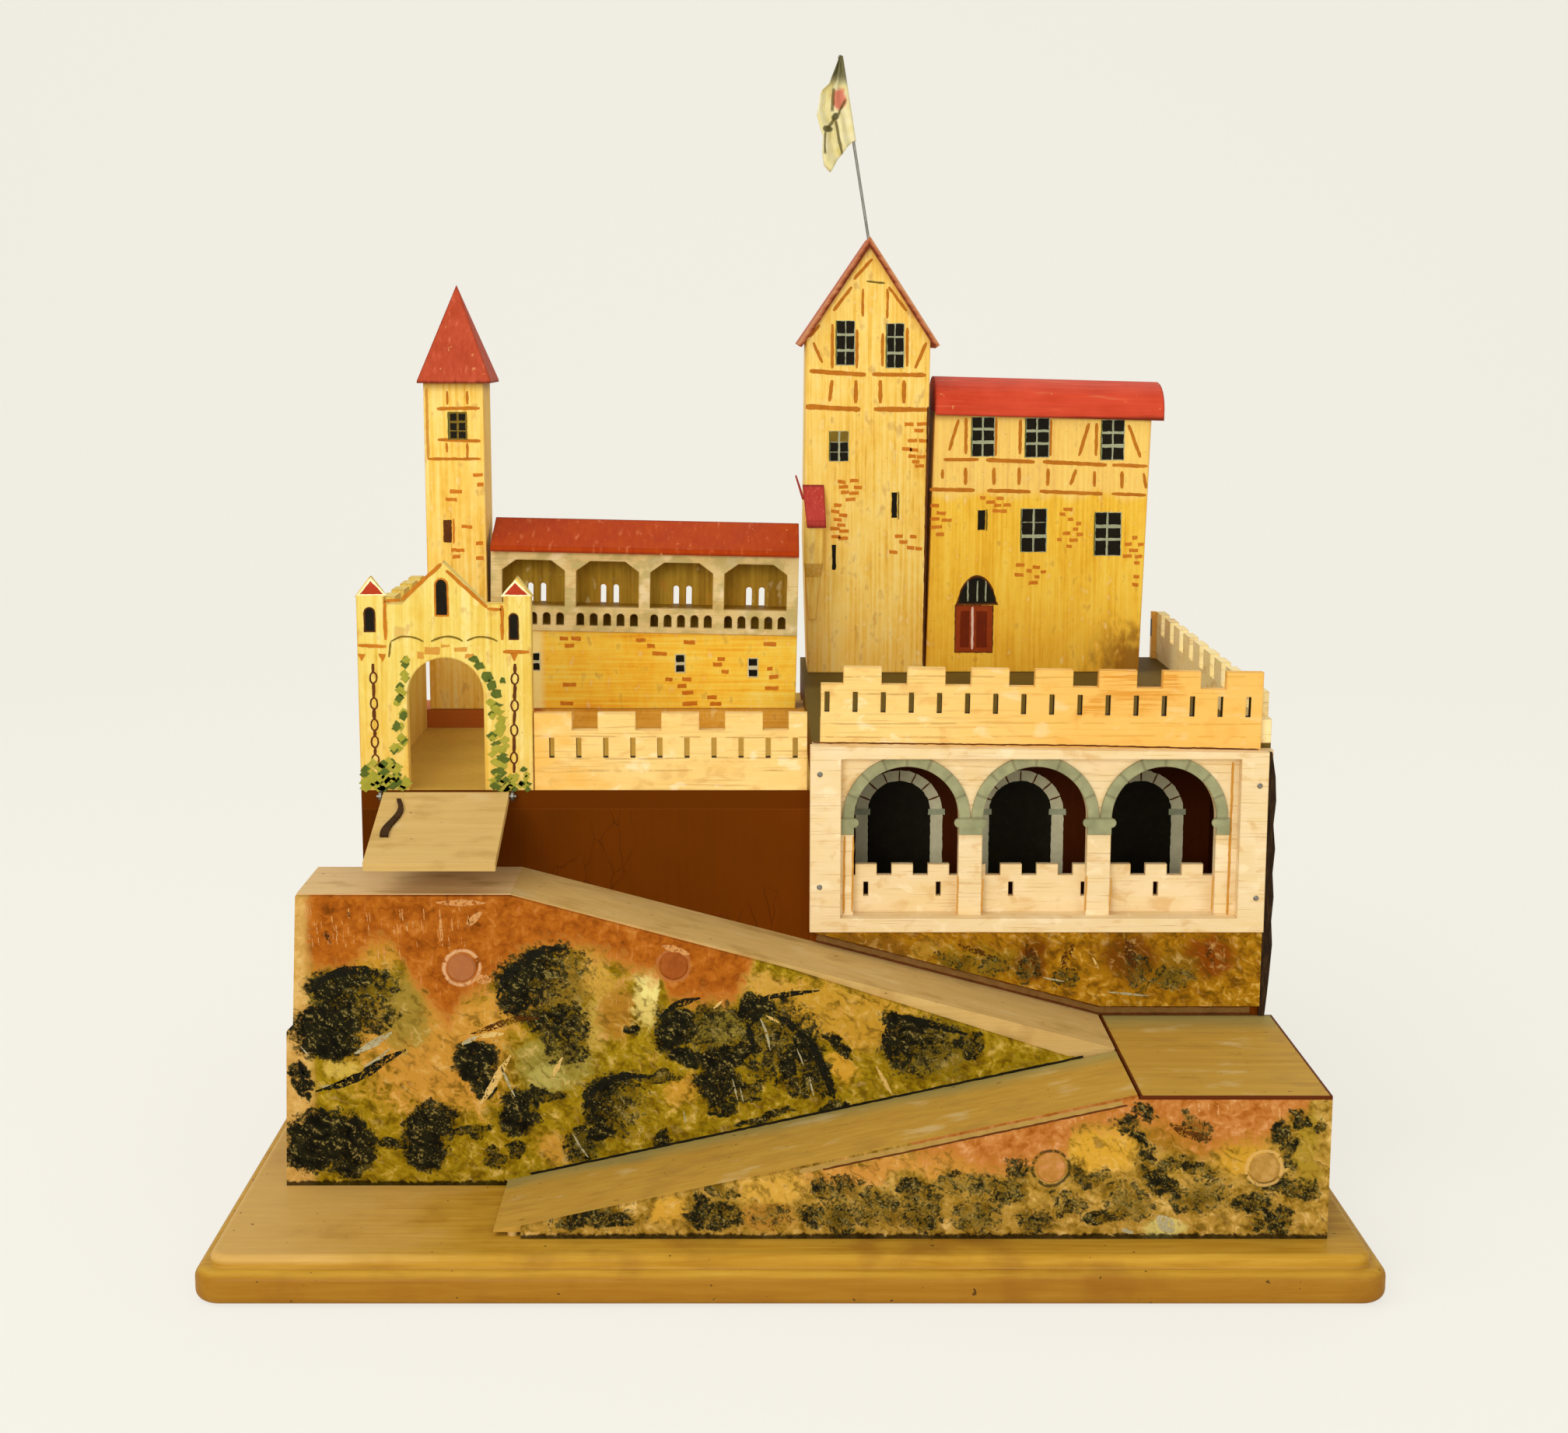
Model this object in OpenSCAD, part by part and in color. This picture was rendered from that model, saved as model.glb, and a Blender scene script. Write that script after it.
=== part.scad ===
// Toy castle on a stepped rock: a wooden play fort with two ramps, a gate with a
// drawbridge, a courtyard, an arcade under the upper terrace, and four loose buildings.
// Millimetres. The origin is the middle of the base board's underside, +Z is up,
// and the front of the castle faces -Y.

/* [Base board] */
// Height of the lower slab of the base
slab_h = 14.4; // [10:0.2:18]
// Height of the thinner board on the slab
step_h = 5.4; // [4:0.2:8]
// How far the upper board lies inside the slab's edge
step_in = 6; // [3:0.5:10]
// Radius of the slab's corners, seen from above
slab_corner = 12; // [8:0.5:16]
// Rounding of the slab's top and bottom edges
slab_round = 4.5; // [1:0.5:4.5]
// Base board left of the rock
margin_left = 23.5; // [15:0.5:40]
// Base board right of the rock
margin_right = 21.5; // [15:0.5:40]
// Base board in front of the lower ramp
margin_front = 25; // [15:0.5:40]
// Base board behind the hill
margin_back = 18; // [12:0.5:40]

/* [Hill box] */
// Thickness of the hill's boards
board_t = 6; // [4:0.5:8]
// Thickness of the terrace boards
terrace_t = 8.8; // [6:0.2:12]
// Height of the courtyard above the base
court_rise = 171; // [160:1:185]
// Height of the upper terrace above the courtyard
fort_rise = 21.2; // [14:0.2:26]
// Width of the courtyard, from the left side to the step
court_w = 209; // [200:0.5:220]
// Depth of the courtyard, from the hill's front to the gallery
court_d = 174; // [165:0.5:185]
// Distance from the hill's front to the keep
keep_setback = 233; // [232:0.5:240]
// Terrace behind the keep
rear_strip = 5; // [3:0.5:15]
// Side of the square battens in the hill's corners
batten = 12; // [8:0.5:16]

/* [Ramps and rock] */
// Width of the lower ramp
lower_ramp_w = 63; // [55:0.5:70]
// Width of the upper ramp
upper_ramp_w = 56; // [50:0.5:62]
// Thickness of the ramp and landing boards
ramp_t = 4.6; // [3:0.2:6]
// Thickness of the right landing's board
landing_edge = 1.6; // [1.2:0.2:3]
// How far the lower ramp's thin end stands above the base
ramp_lift = 1.8; // [1:0.2:3]
// Thickness of that thin end
ramp_tip = 0.8; // [0.6:0.1:1.5]
// Thickness of the painted rock panels
rock_t = 3; // [2:0.5:5]
// Height of the left landing above the base
left_landing_rise = 134.6; // [128:0.2:140]
// Height of the right landing above the base
right_landing_rise = 63.2; // [56:0.2:70]
// How far the left rock stands out beyond the hill at the foot
left_rock_out = 29; // [24:0.5:34]
// How far the left rock draws in towards its top
left_rock_lean = 8; // [4:0.5:12]
// Height of the ledge on the left rock's end
left_ledge_rise = 72; // [50:1:100]
// How far that ledge stands out
left_ledge_out = 3; // [1:0.5:5]
// Length of the left landing
left_landing_l = 95; // [88:0.5:100]
// Length of the right landing
right_landing_l = 81; // [74:0.5:88]
// How far the right rock stands out beyond the hill
right_rock_out = 3.5; // [1:0.5:8]
// Distance of the lower ramp's foot from the left rock's foot
ramp_foot_in = 100; // [90:1:110]
// How far the left rock's tip stops short of the right landing
rock_tip_short = 22; // [16:0.5:30]
// Height of the tip's drop below the ramp boards
rock_tip_drop = 4.5; // [2:0.5:6]
// Diameter of the round plugs over the panels' screws
plug_d = 13; // [8:0.5:16]
// Height of a plug's face above its panel
plug_h = 0.8; // [0.4:0.1:1.4]

/* [Gatehouse and drawbridge] */
// Thickness of the gatehouse board
gate_t = 6.5; // [5:0.5:8]
// Width of the gatehouse between its turret sides
gate_w = 80; // [76:0.5:84]
// Width of a turret
turret_w = 12.6; // [10:0.2:14]
// Height of the turret's wall above the courtyard
turret_h = 90; // [84:0.5:94]
// Height of a turret's pointed cap
turret_cap_h = 9.2; // [7:0.2:12]
// How far a turret's cap overhangs its wall
turret_eave = 0.7; // [0.4:0.1:1.2]
// Height of the wall between turret and gable
shoulder_h = 87; // [80:0.5:89]
// Height of the gable's point
gable_h = 106.3; // [100:0.5:112]
// Width of the gable at its foot
gable_w = 38; // [32:0.5:44]
// Width of the gate's arch
gate_arch_w = 35.2; // [30:0.2:38]
// Height of the gate's arch
gate_arch_h = 62; // [56:0.5:66]
// Width of the drawbridge
bridge_w = 58; // [50:0.5:60]
// Length of the drawbridge from its pin
bridge_l = 65; // [60:0.5:66]
// Thickness of the drawbridge
bridge_t = 4; // [3.4:0.2:5]
// Slope of the lowered drawbridge below level, degrees
bridge_slope = 17.2; // [10:0.2:18]
// Distance of the bridge's pin in front of the hill
pin_out = 3.9; // [3.6:0.1:5]
// Radius of the wire pin
pin_r = 0.8; // [0.6:0.05:1]
// Radial clearance round the wire pin
pin_gap = 0.1; // [0.05:0.01:0.2]
// Length of the leather pull on the bridge
pull_l = 34; // [26:0.5:40]
// Width of the leather pull
pull_w = 3.2; // [2:0.2:5]
// Thickness of the leather pull
pull_t = 1.4; // [0.8:0.1:1.5]

/* [Parapets] */
// Thickness of the parapet boards
parapet_t = 5; // [4:0.5:6]
// Height of the front parapets in their gaps
crenel_h = 28.2; // [27:0.2:32]
// Height of the merlons above the gaps
merlon_h = 8; // [6:0.2:12]
// Width of a merlon
merlon_w = 17.5; // [15:0.5:20]
// Distance from merlon to merlon
merlon_pitch = 29.4; // [26:0.2:34]
// Height of the right side's parapet in its gaps
side_crenel_h = 15.8; // [12:0.2:22]
// Height of its merlons
side_merlon_h = 11.5; // [8:0.5:14]
// How much lower the side parapet is at its front end
side_drop = 4.6; // [0:0.1:6]
// How far the front parapet's foot is above the terrace at its left end
front_rise = 0.5; // [0:0.1:0.8]
// How much lower it and the boards under it are at the right end
front_drop = 2.9; // [0:0.1:3.4]
// Width of the upright slots
slot_w = 2.3; // [1.6:0.1:3]
// Height of the upright slots
slot_h = 9.4; // [7:0.2:11]
// Distance from slot to slot on the upper terrace
slot_pitch = 12.95; // [11:0.05:16]
// Distance from slot to slot on the courtyard
court_slot_pitch = 12.5; // [11:0.1:16]
// Height of the slots' middle above the parapet's foot
slot_z = 20; // [14:0.5:21]
// Gap between the gatehouse and the courtyard's parapet
parapet_gap = 0.5; // [0.3:0.1:3]
// Height of the wall along the courtyard's left side
side_wall_h = 74; // [68:0.5:80]
// Length of the short return at the far end of the right parapet
return_l = 2.8; // [2:0.2:14]

/* [Arcade] */
// Width of an arch
bay_w = 48.8; // [46:0.2:52]
// Number of arches
bays = 3; // [2:1:4]
// Width of the piers between the arches
pier_w = 11; // [9:0.2:13]
// Width of the half piers at the ends
end_pier_w = 6.2; // [5:0.2:8]
// Height of an arch from the floor to its crown
bay_h = 70.8; // [64:0.2:76]
// Distance from the crown to the terrace board above
crown_drop = 1.1; // [0.6:0.1:3]
// Width of the raised band round an arch
arch_band = 5.2; // [4:0.2:5.4]
// How far the arch bands stand out
band_out = 1.4; // [0.8:0.1:2]
// Height of the capitals
capital_h = 7.8; // [6:0.2:10]
// How far the capitals' rolls stand into the arches
capital_out = 2.2; // [1.4:0.1:3]
// Width of the frame's left post
frame_left = 14.3; // [12:0.2:16]
// Width of the frame's right post
frame_right = 12.6; // [10:0.2:15]
// Open groove between the right half pier and the post
frame_groove = 3.6; // [2:0.2:6]
// Height of the frame's bottom rail
frame_sill = 6.8; // [5:0.2:9]
// Height of the frame's top rail
frame_head = 5.6; // [4:0.2:6.6]
// How far the frame stands out from the hill
frame_t = 6; // [4:0.5:8]
// How far the frame laps past the step
frame_lap = 1; // [0:0.5:2]
// Width of the bark strip at the right corner, at its ragged edge
strip_w = 5; // [4:0.5:8]
// Thickness of that strip
strip_t = 2.4; // [1.6:0.2:4]
// Depth of the room behind the arcade
room_d = 60; // [50:0.5:70]
// Thickness of the boards inside that room
room_t = 4; // [3:0.5:5]
// Height of the small parapet in its gaps
breast_h = 17.8; // [14:0.2:22]
// Height of its merlons
breast_merlon_h = 5.2; // [3:0.2:6]
// Width of its merlons
breast_merlon_w = 10; // [8:0.2:12]
// Distance between its merlons
breast_pitch = 17; // [15:0.5:20]
// Height of the small parapet's slots above its foot
breast_slot_z = 7.8; // [5:0.2:9]
// Height of these slots
breast_slot_h = 6.8; // [4:0.2:8]
// Radius of the nail heads in the frame
nail_r = 1.3; // [0.8:0.1:2]
// Height of the nail heads
nail_h = 0.6; // [0.3:0.1:1]

/* [Buildings] */
// Clearance under and between the loose buildings
seat = 0.3; // [0.2:0.05:0.4]
// Height of the plinth under tower and gallery
plinth_h = 10; // [7:0.5:14]
// Thickness of the buildings' boards
wall_t = 4; // [3:0.2:5]
// Distance of the tower from the courtyard's left side
tower_in = 8.4; // [7:0.2:12]
// Width and depth of the tower
tower_w = 31.5; // [29:0.5:34]
// Height of the tower's walls
tower_h = 173.4; // [160:0.2:185]
// How far the tower's roof overhangs
tower_eave = 3.6; // [2:0.1:5]
// How far the tower's roof sits to the right of the middle
tower_roof_off = 0.8; // [0:0.1:1.2]
// Height of the tower's roof
tower_roof_h = 51; // [44:0.5:58]
// Height of the tower roof's upright rim
tower_rim = 1.2; // [0.6:0.1:2]
// Gap between gallery and keep
gallery_gap = 4.9; // [3:0.1:7]
// Depth of the gallery
gallery_d = 25; // [22:0.5:34]
// Number of bays in the gallery
gallery_bays = 4; // [3:1:5]
// Height of the gallery's floor line above its foot
gallery_floor_h = 56; // [50:0.5:60]
// Height of the gallery's openings
gallery_bay_h = 24.6; // [21:0.2:28]
// Width of the gallery's posts
gallery_post = 6; // [5:0.2:8]
// Width of the cut corners of the openings
gallery_chamfer = 7.4; // [4:0.2:9]
// Height of the cut corners
gallery_chamfer_h = 5.4; // [3:0.2:8]
// Height of the screen above its openings
gallery_head = 6.2; // [4:0.2:8]
// How far the screen stands out from the wall below
screen_out = 1.5; // [0.5:0.1:2.5]
// Height of the row of recesses under the openings
recess_h = 6.8; // [6:0.2:9]
// Width of one recess
recess_w = 4.2; // [3:0.1:5]
// Distance between recesses
recess_pitch = 7.15; // [6:0.05:8]
// Number of recesses under an opening
recesses = 5; // [3:1:5]
// Solid strip above and below the recesses
recess_strip = 3.2; // [2:0.2:4]
// Width of the window slots in the gallery's back
lancet_w = 3.1; // [2.6:0.1:4]
// Height of those slots
lancet_h = 10.2; // [8:0.2:14]
// Distance between the two slots of a pair
lancet_pitch = 6.9; // [6:0.1:9]
// Rise of the lean-to roof from front to back
lean_rise = 10.6; // [7:0.1:14]
// Thickness of the roof boards
roof_t = 3; // [2:0.2:4]
// Overhang of the roof boards
eave = 4; // [3:0.5:6]
// Lean of the gallery to the right, degrees
gallery_lean = 1.2; // [0.5:0.1:1.5]
// Width of the keep
keep_w = 68; // [62:0.5:72]
// Depth of the keep
keep_d = 60; // [54:0.5:60]
// Height of the keep's eaves
keep_h = 184; // [170:0.5:195]
// Rise of the keep's gable
keep_gable = 50.5; // [42:0.5:58]
// Lean of the keep to the right, degrees
keep_lean = 0.5; // [0.3:0.1:0.8]
// How far the keep's left side draws in at its foot
keep_foot_in = 3.2; // [1:0.2:4]
// Width of the bay on the keep's front
oriel_w = 10.5; // [9:0.5:14]
// How far that bay stands out
oriel_out = 9; // [6:0.5:12]
// Height of the bay's foot
oriel_z = 60; // [40:0.5:75]
// Height of the bay's front
oriel_h = 22; // [18:0.5:30]
// Rise of the bay's steep roof
oriel_rise = 23; // [16:0.5:26]
// Gap between keep and hall
hall_gap = 1.2; // [0.6:0.1:3]
// Width of the hall
hall_w = 119.5; // [112:0.5:124]
// Depth of the hall
hall_d = 56; // [50:0.5:57]
// Height of the hall's walls
hall_h = 145; // [134:0.5:155]
// Rise of the hall's roof
hall_rise = 19; // [14:0.5:24]
// Overhang of the hall's roof at its right end
hall_end = 6.5; // [4:0.5:9]
// Lean of the hall to the right, degrees
hall_lean = 1.5; // [0.5:0.1:2]

/* [Flag] */
// Radius of the flag's wire pole
pole_r = 0.8; // [0.6:0.05:1.2]
// Radial clearance of the pole in its hole
pole_gap = 0.08; // [0.04:0.01:0.12]
// Length of the pole above the ridge
pole_l = 99; // [85:0.5:115]
// Depth of the pole's hole below the ridge
pole_seat = 14; // [10:0.5:16]
// Lean of the pole to the left, degrees
pole_lean = 9.4; // [4:0.2:12]
// Distance of the pole behind the keep's front
pole_back = 20; // [12:0.5:30]
// Length of the flag along its pole
flag_hoist = 46; // [38:0.5:52]
// Reach of the hanging flag to the left
flag_reach = 17; // [12:0.5:24]
// Depth of the flag's folds
flag_fold = 3.4; // [2:0.2:5]
// Number of folds across the flag
flag_folds = 1.6; // [1:0.1:2.5]
// Drop of the flag's upper free corner
flag_drop = 21; // [14:0.5:26]
// Thickness of the flag's cloth with its paint
flag_t = 0.7; // [0.5:0.1:1]
// Wall of the cloth's hem round the pole
hem_t = 0.6; // [0.4:0.1:1]
// Distance of the flag's top below the pole's tip
flag_top_gap = 4; // [2:0.5:8]

/* [Hidden] */
$fn = 48;

// Colours
board_brown = "#B98A45";
wall_brown = "#6B2F0A";
rock_brown = "#A8602C";
ramp_tan = "#C2A066";
wall_yellow = "#E9BE57";
pale_cream = "#F3DDA0";
roof_red = "#B8402F";
stone_grey = "#9C9C88";
wire_grey = "#6E6A60";
leather_brown = "#3A2614";

// Widths, from left to right
frame_w = frame_left + 2 * end_pier_w + bays * bay_w + (bays - 1) * pier_w
    + frame_groove + frame_right;
strip_past = 2;
bastion_w = frame_w - frame_lap + strip_w - strip_past;
base_w = margin_left + left_rock_out + court_w + bastion_w + right_rock_out + margin_right;
rock_left = -base_w / 2 + margin_left;
hill_left = rock_left + left_rock_out;
step_x = hill_left + court_w;
hill_right = step_x + bastion_w;
rock_right = hill_right + right_rock_out;
frame_x = step_x - frame_lap;
frame_right_x = frame_x + frame_w;

// Depths, from front to back
hill_d = keep_setback + keep_d + rear_strip;
base_d = margin_front + lower_ramp_w + upper_ramp_w + hill_d + margin_back;
right_rock_y = -base_d / 2 + margin_front;
left_rock_y = right_rock_y + lower_ramp_w;
hill_y = left_rock_y + upper_ramp_w;
hill_back = hill_y + hill_d;
gallery_y = hill_y + court_d;
keep_y = hill_y + keep_setback;

// Heights, from the table up
base_z = slab_h + step_h;
court_z = base_z + court_rise;
fort_z = court_z + fort_rise;
plinth_z = court_z + plinth_h;
left_landing_z = base_z + left_landing_rise;
right_landing_z = base_z + right_landing_rise;
crown_z = fort_z - terrace_t - crown_drop;
room_z = crown_z - bay_h;
spring_z = crown_z - bay_w / 2;
frame_z = room_z - frame_sill;
frame_height = fort_z - frame_z;

// Ramps: where their top faces start and end
left_landing_x = rock_left + left_rock_lean;
upper_top_x = left_landing_x + left_landing_l;
right_landing_x = rock_right - right_landing_l;
ramp_foot_x = rock_left + ramp_foot_in;
lower_slope = (right_landing_z - base_z - ramp_lift - ramp_tip)
    / (right_landing_x - ramp_foot_x);
upper_slope = (left_landing_z - right_landing_z) / (right_landing_x - upper_top_x);
rock_tip_x = right_landing_x - rock_tip_short;
joint_gap = 0.8;

function lower_ramp_z(x) = base_z + ramp_lift + ramp_tip + (x - ramp_foot_x) * lower_slope;
front_tilt = asin(front_drop / (hill_right - step_x));
function front_z(x) = fort_z + front_rise - (x - step_x) * tan(front_tilt);
function upper_ramp_z(x) = right_landing_z + (right_landing_x - x) * upper_slope;

// Drawbridge
gate_mid = hill_left + gate_w / 2;
pin_y = hill_y - pin_out;
pin_z = court_z - 2.2;
bridge_x = gate_mid - bridge_w / 2;

// Arcade
first_bay_x = frame_x + frame_left + end_pier_w + bay_w / 2;
bay_pitch = bay_w + pier_w;
bay_x = [for (i = [0 : bays - 1]) first_bay_x + i * bay_pitch];
room_left = frame_x + frame_left - room_t;
room_right = bay_x[bays - 1] + bay_w / 2 + end_pier_w + frame_groove + room_t;
breast_t = 3.6;
breast_shift = 1.1;

// Buildings
tower_x = hill_left + tower_in;
gallery_x = tower_x + tower_w + 2 * seat;
gallery_w = step_x - gallery_gap - gallery_x;
gallery_bay_pitch = (gallery_w - gallery_post) / gallery_bays;
gallery_bay_w = gallery_bay_pitch - gallery_post;
screen_t = wall_t;
screen_z = gallery_floor_h - recess_h - 2 * recess_strip;
screen_top = gallery_floor_h + gallery_bay_h + gallery_head;
back_top = screen_top + lean_rise * (gallery_d - wall_t) / gallery_d;
keep_half = keep_w / 2;
keep_pitch = atan(keep_gable / keep_half);
hall_x = step_x + keep_w + hall_gap;
hall_roof_half = hall_d / 2 + eave - 1;

// Shared shapes

// A board or block between two corners
module block(x0, x1, y0, y1, z0, z1) {
    translate([x0, y0, z0]) cube([x1 - x0, y1 - y0, z1 - z0]);
}

// An outline drawn as seen from the front, standing t thick behind y
module upright(y, t) {
    translate([0, y + t, 0]) rotate([90, 0, 0]) linear_extrude(t) children();
}

// An outline drawn as seen from the right, standing t thick from x
module crosswise(x, t) {
    translate([x, 0, 0]) rotate([90, 0, 90]) linear_extrude(t) children();
}

// An opening with a round head, standing on the line below it
module arch(w, h) {
    translate([-w / 2, 0]) square([w, h - w / 2]);
    translate([0, h - w / 2]) circle(d = w);
}

// A slab with rounded corners and rounded edges
module moulded_slab(w, d, h, corner, lower_r, upper_r) {
    quarter = [0 : 15 : 90];
    profile = concat(
        [[0, 0]],
        [for (a = quarter) [corner - lower_r + lower_r * sin(a), lower_r - lower_r * cos(a)]],
        [for (a = quarter) [corner - upper_r + upper_r * cos(a), h - upper_r + upper_r * sin(a)]],
        [[0, h]]);
    inner_w = w - 2 * corner;
    inner_d = d - 2 * corner;
    translate([-inner_w / 2, -inner_d / 2, 0]) cube([inner_w, inner_d, h]);
    for (side = [0, 180]) {
        rotate(side) translate([inner_w / 2, inner_d / 2, 0]) {
            rotate([90, 0, 0]) linear_extrude(inner_d) polygon(profile);
            rotate_extrude(angle = 90) polygon(profile);
        }
        rotate(side) translate([-inner_w / 2, inner_d / 2, 0]) {
            rotate([90, 0, 90]) linear_extrude(inner_w) polygon(profile);
            rotate(90) rotate_extrude(angle = 90) polygon(profile);
        }
    }
}

// A crenellated wall: low between its merlons, which start at first
module crenellated(length, low, rise, first) {
    square([length, low]);
    for (a = [first : merlon_pitch : length - 2])
        translate([a, 0]) square([min(merlon_w, length - a), low + rise]);
}

// A row of upright slots, the first one's left side at first
module slots(length, first, pitch) {
    for (s = [first : pitch : length - slot_w - 1])
        translate([s, slot_z - slot_h / 2]) square([slot_w, slot_h]);
}

// A loose building leans from its foot, and its foot is planed level
module leaning(x, z, degrees) {
    reach = 600;
    intersection() {
        translate([x, 0, z]) rotate([0, degrees, 0]) translate([-x, 0, -z]) children();
        translate([-reach, -reach, z]) cube([2 * reach, 2 * reach, reach]);
    }
}

// Base
module base_board() {
    color(board_brown) {
        moulded_slab(base_w, base_d, slab_h, slab_corner, slab_round, slab_round);
        translate([0, 0, slab_h])
            moulded_slab(base_w - 2 * step_in, base_d - 2 * step_in, step_h,
                slab_corner - step_in / 2, 0.01, min(3, step_h - 1));
    }
}

// Hill box
module hill_front_wall() {
    color(wall_brown)
        block(hill_left, step_x, hill_y, hill_y + board_t, base_z, court_z - terrace_t);
}

module hill_left_wall() {
    color(wall_brown)
        block(hill_left, hill_left + board_t, hill_y + board_t, hill_back - board_t,
            base_z, court_z - terrace_t);
}

module hill_right_wall() {
    color(wall_brown)
        block(hill_right - board_t, hill_right, hill_y + board_t, hill_back - board_t,
            base_z, fort_z - terrace_t);
}

module hill_back_wall() {
    color(wall_brown) {
        block(hill_left, step_x, hill_back - board_t, hill_back, base_z, court_z - terrace_t);
        block(step_x, hill_right, hill_back - board_t, hill_back, base_z, fort_z - terrace_t);
    }
}

module bastion_front_wall() {
    color(wall_brown)
        block(step_x, hill_right, hill_y, hill_y + board_t, base_z, room_z - frame_sill / 2);
}

module bastion_step_wall() {
    color(wall_brown)
        block(step_x, step_x + board_t, hill_y + board_t, hill_back - board_t,
            base_z, fort_z - terrace_t);
}

module corner_battens() {
    color(ramp_tan)
        for (y = [hill_y + board_t, hill_back - board_t - batten]) {
            block(hill_left + board_t, hill_left + board_t + batten, y, y + batten,
                base_z, court_z - terrace_t);
            block(step_x - batten, step_x, y, y + batten, base_z, court_z - terrace_t);
        }
}

// Ramps, landings and rock: the panels stand in front of the boards and hide their edges
module left_rock_face() {
    ledge_z = base_z + left_ledge_rise;
    reveal = 0.5;
    // The panel's upper edge dips below the ramp's board towards its tip
    bend_x = (upper_top_x + rock_tip_x) / 2;
    ledge_x = left_landing_x - left_rock_lean * 0.35;
    color(rock_brown)
        upright(left_rock_y, rock_t) polygon([
            [rock_left, base_z], [right_landing_x - joint_gap, base_z],
            [right_landing_x - joint_gap, lower_ramp_z(right_landing_x) - ramp_t - 1],
            [rock_tip_x, upper_ramp_z(rock_tip_x) - ramp_t - rock_tip_drop],
            [bend_x, upper_ramp_z(bend_x) - reveal - 1],
            [upper_top_x, left_landing_z - reveal], [left_landing_x, left_landing_z - reveal],
            [ledge_x, ledge_z + 3], [ledge_x - left_ledge_out, ledge_z]]);
}

module left_rock_end() {
    top_z = left_landing_z - ramp_t;
    color(rock_brown)
        upright(left_rock_y + rock_t, upper_ramp_w - 2 * rock_t) polygon([
            [rock_left + 1, base_z], [rock_left + 1 + rock_t, base_z],
            [left_landing_x + 1 + rock_t, top_z], [left_landing_x + 1, top_z]]);
}

module left_rock_back() {
    top_z = left_landing_z - ramp_t;
    color(rock_brown)
        upright(hill_y - rock_t, rock_t) polygon([
            [rock_left + 1, base_z], [hill_left, base_z], [hill_left, top_z],
            [left_landing_x + 1, top_z]]);
}

module right_rock_face() {
    start_x = ramp_foot_x + 12;
    reveal = 0.4;
    landing_low = right_landing_z - landing_edge;
    color(rock_brown)
        upright(right_rock_y, rock_t) polygon([
            [start_x, base_z], [rock_right, base_z], [rock_right, landing_low],
            [right_landing_x - joint_gap, landing_low],
            [right_landing_x - joint_gap, lower_ramp_z(right_landing_x) - reveal],
            [start_x, lower_ramp_z(start_x) - reveal]]);
}

module right_rock_end() {
    color(rock_brown)
        block(rock_right - rock_t, rock_right, right_rock_y + rock_t, hill_y,
            base_z, right_landing_z - landing_edge);
}

module plug() {
    cylinder(d1 = plug_d, d2 = plug_d - 2 * plug_h, h = plug_h);
}

module rock_plugs() {
    // Each plug's place on its face, as shares of the face's length and height
    left_plugs = [[0.2167, 0.7541], [0.4692, 0.7608]];
    right_plugs = [[0.6674, 0.4984], [0.9219, 0.4984]];
    left_face = [right_landing_x - rock_left, left_landing_z - base_z];
    right_face = [rock_right - ramp_foot_x, right_landing_z - base_z];
    color(rock_brown) {
        for (p = left_plugs)
            translate([rock_left + p[0] * left_face[0], left_rock_y, base_z + p[1] * left_face[1]])
                rotate([90, 0, 0]) plug();
        for (p = right_plugs)
            translate([ramp_foot_x + p[0] * right_face[0], right_rock_y,
                base_z + p[1] * right_face[1]]) rotate([90, 0, 0]) plug();
    }
}

module lower_ramp() {
    x1 = right_landing_x - joint_gap;
    thin_end = base_z + ramp_lift;
    // The underside is planed level where the board runs out over the base
    planed_x = ramp_foot_x + (ramp_t - ramp_tip) / lower_slope;
    color(ramp_tan)
        upright(right_rock_y + rock_t, lower_ramp_w - rock_t) polygon([
            [ramp_foot_x, thin_end], [planed_x, thin_end], [x1, lower_ramp_z(x1) - ramp_t],
            [x1, lower_ramp_z(x1)], [ramp_foot_x, thin_end + ramp_tip]]);
}

module upper_ramp() {
    x1 = right_landing_x - joint_gap;
    color(ramp_tan)
        upright(left_rock_y + rock_t, upper_ramp_w - rock_t) polygon([
            [upper_top_x, left_landing_z - ramp_t], [x1, upper_ramp_z(x1) - ramp_t],
            [x1, upper_ramp_z(x1)], [upper_top_x, left_landing_z]]);
}

module left_landing() {
    color(ramp_tan)
        block(left_landing_x, upper_top_x, left_rock_y + rock_t, hill_y,
            left_landing_z - ramp_t, left_landing_z);
}

// The right landing is a thin board over the rock panels
module right_landing() {
    color(ramp_tan)
        block(right_landing_x, rock_right, right_rock_y, hill_y,
            right_landing_z - landing_edge, right_landing_z);
}

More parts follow.
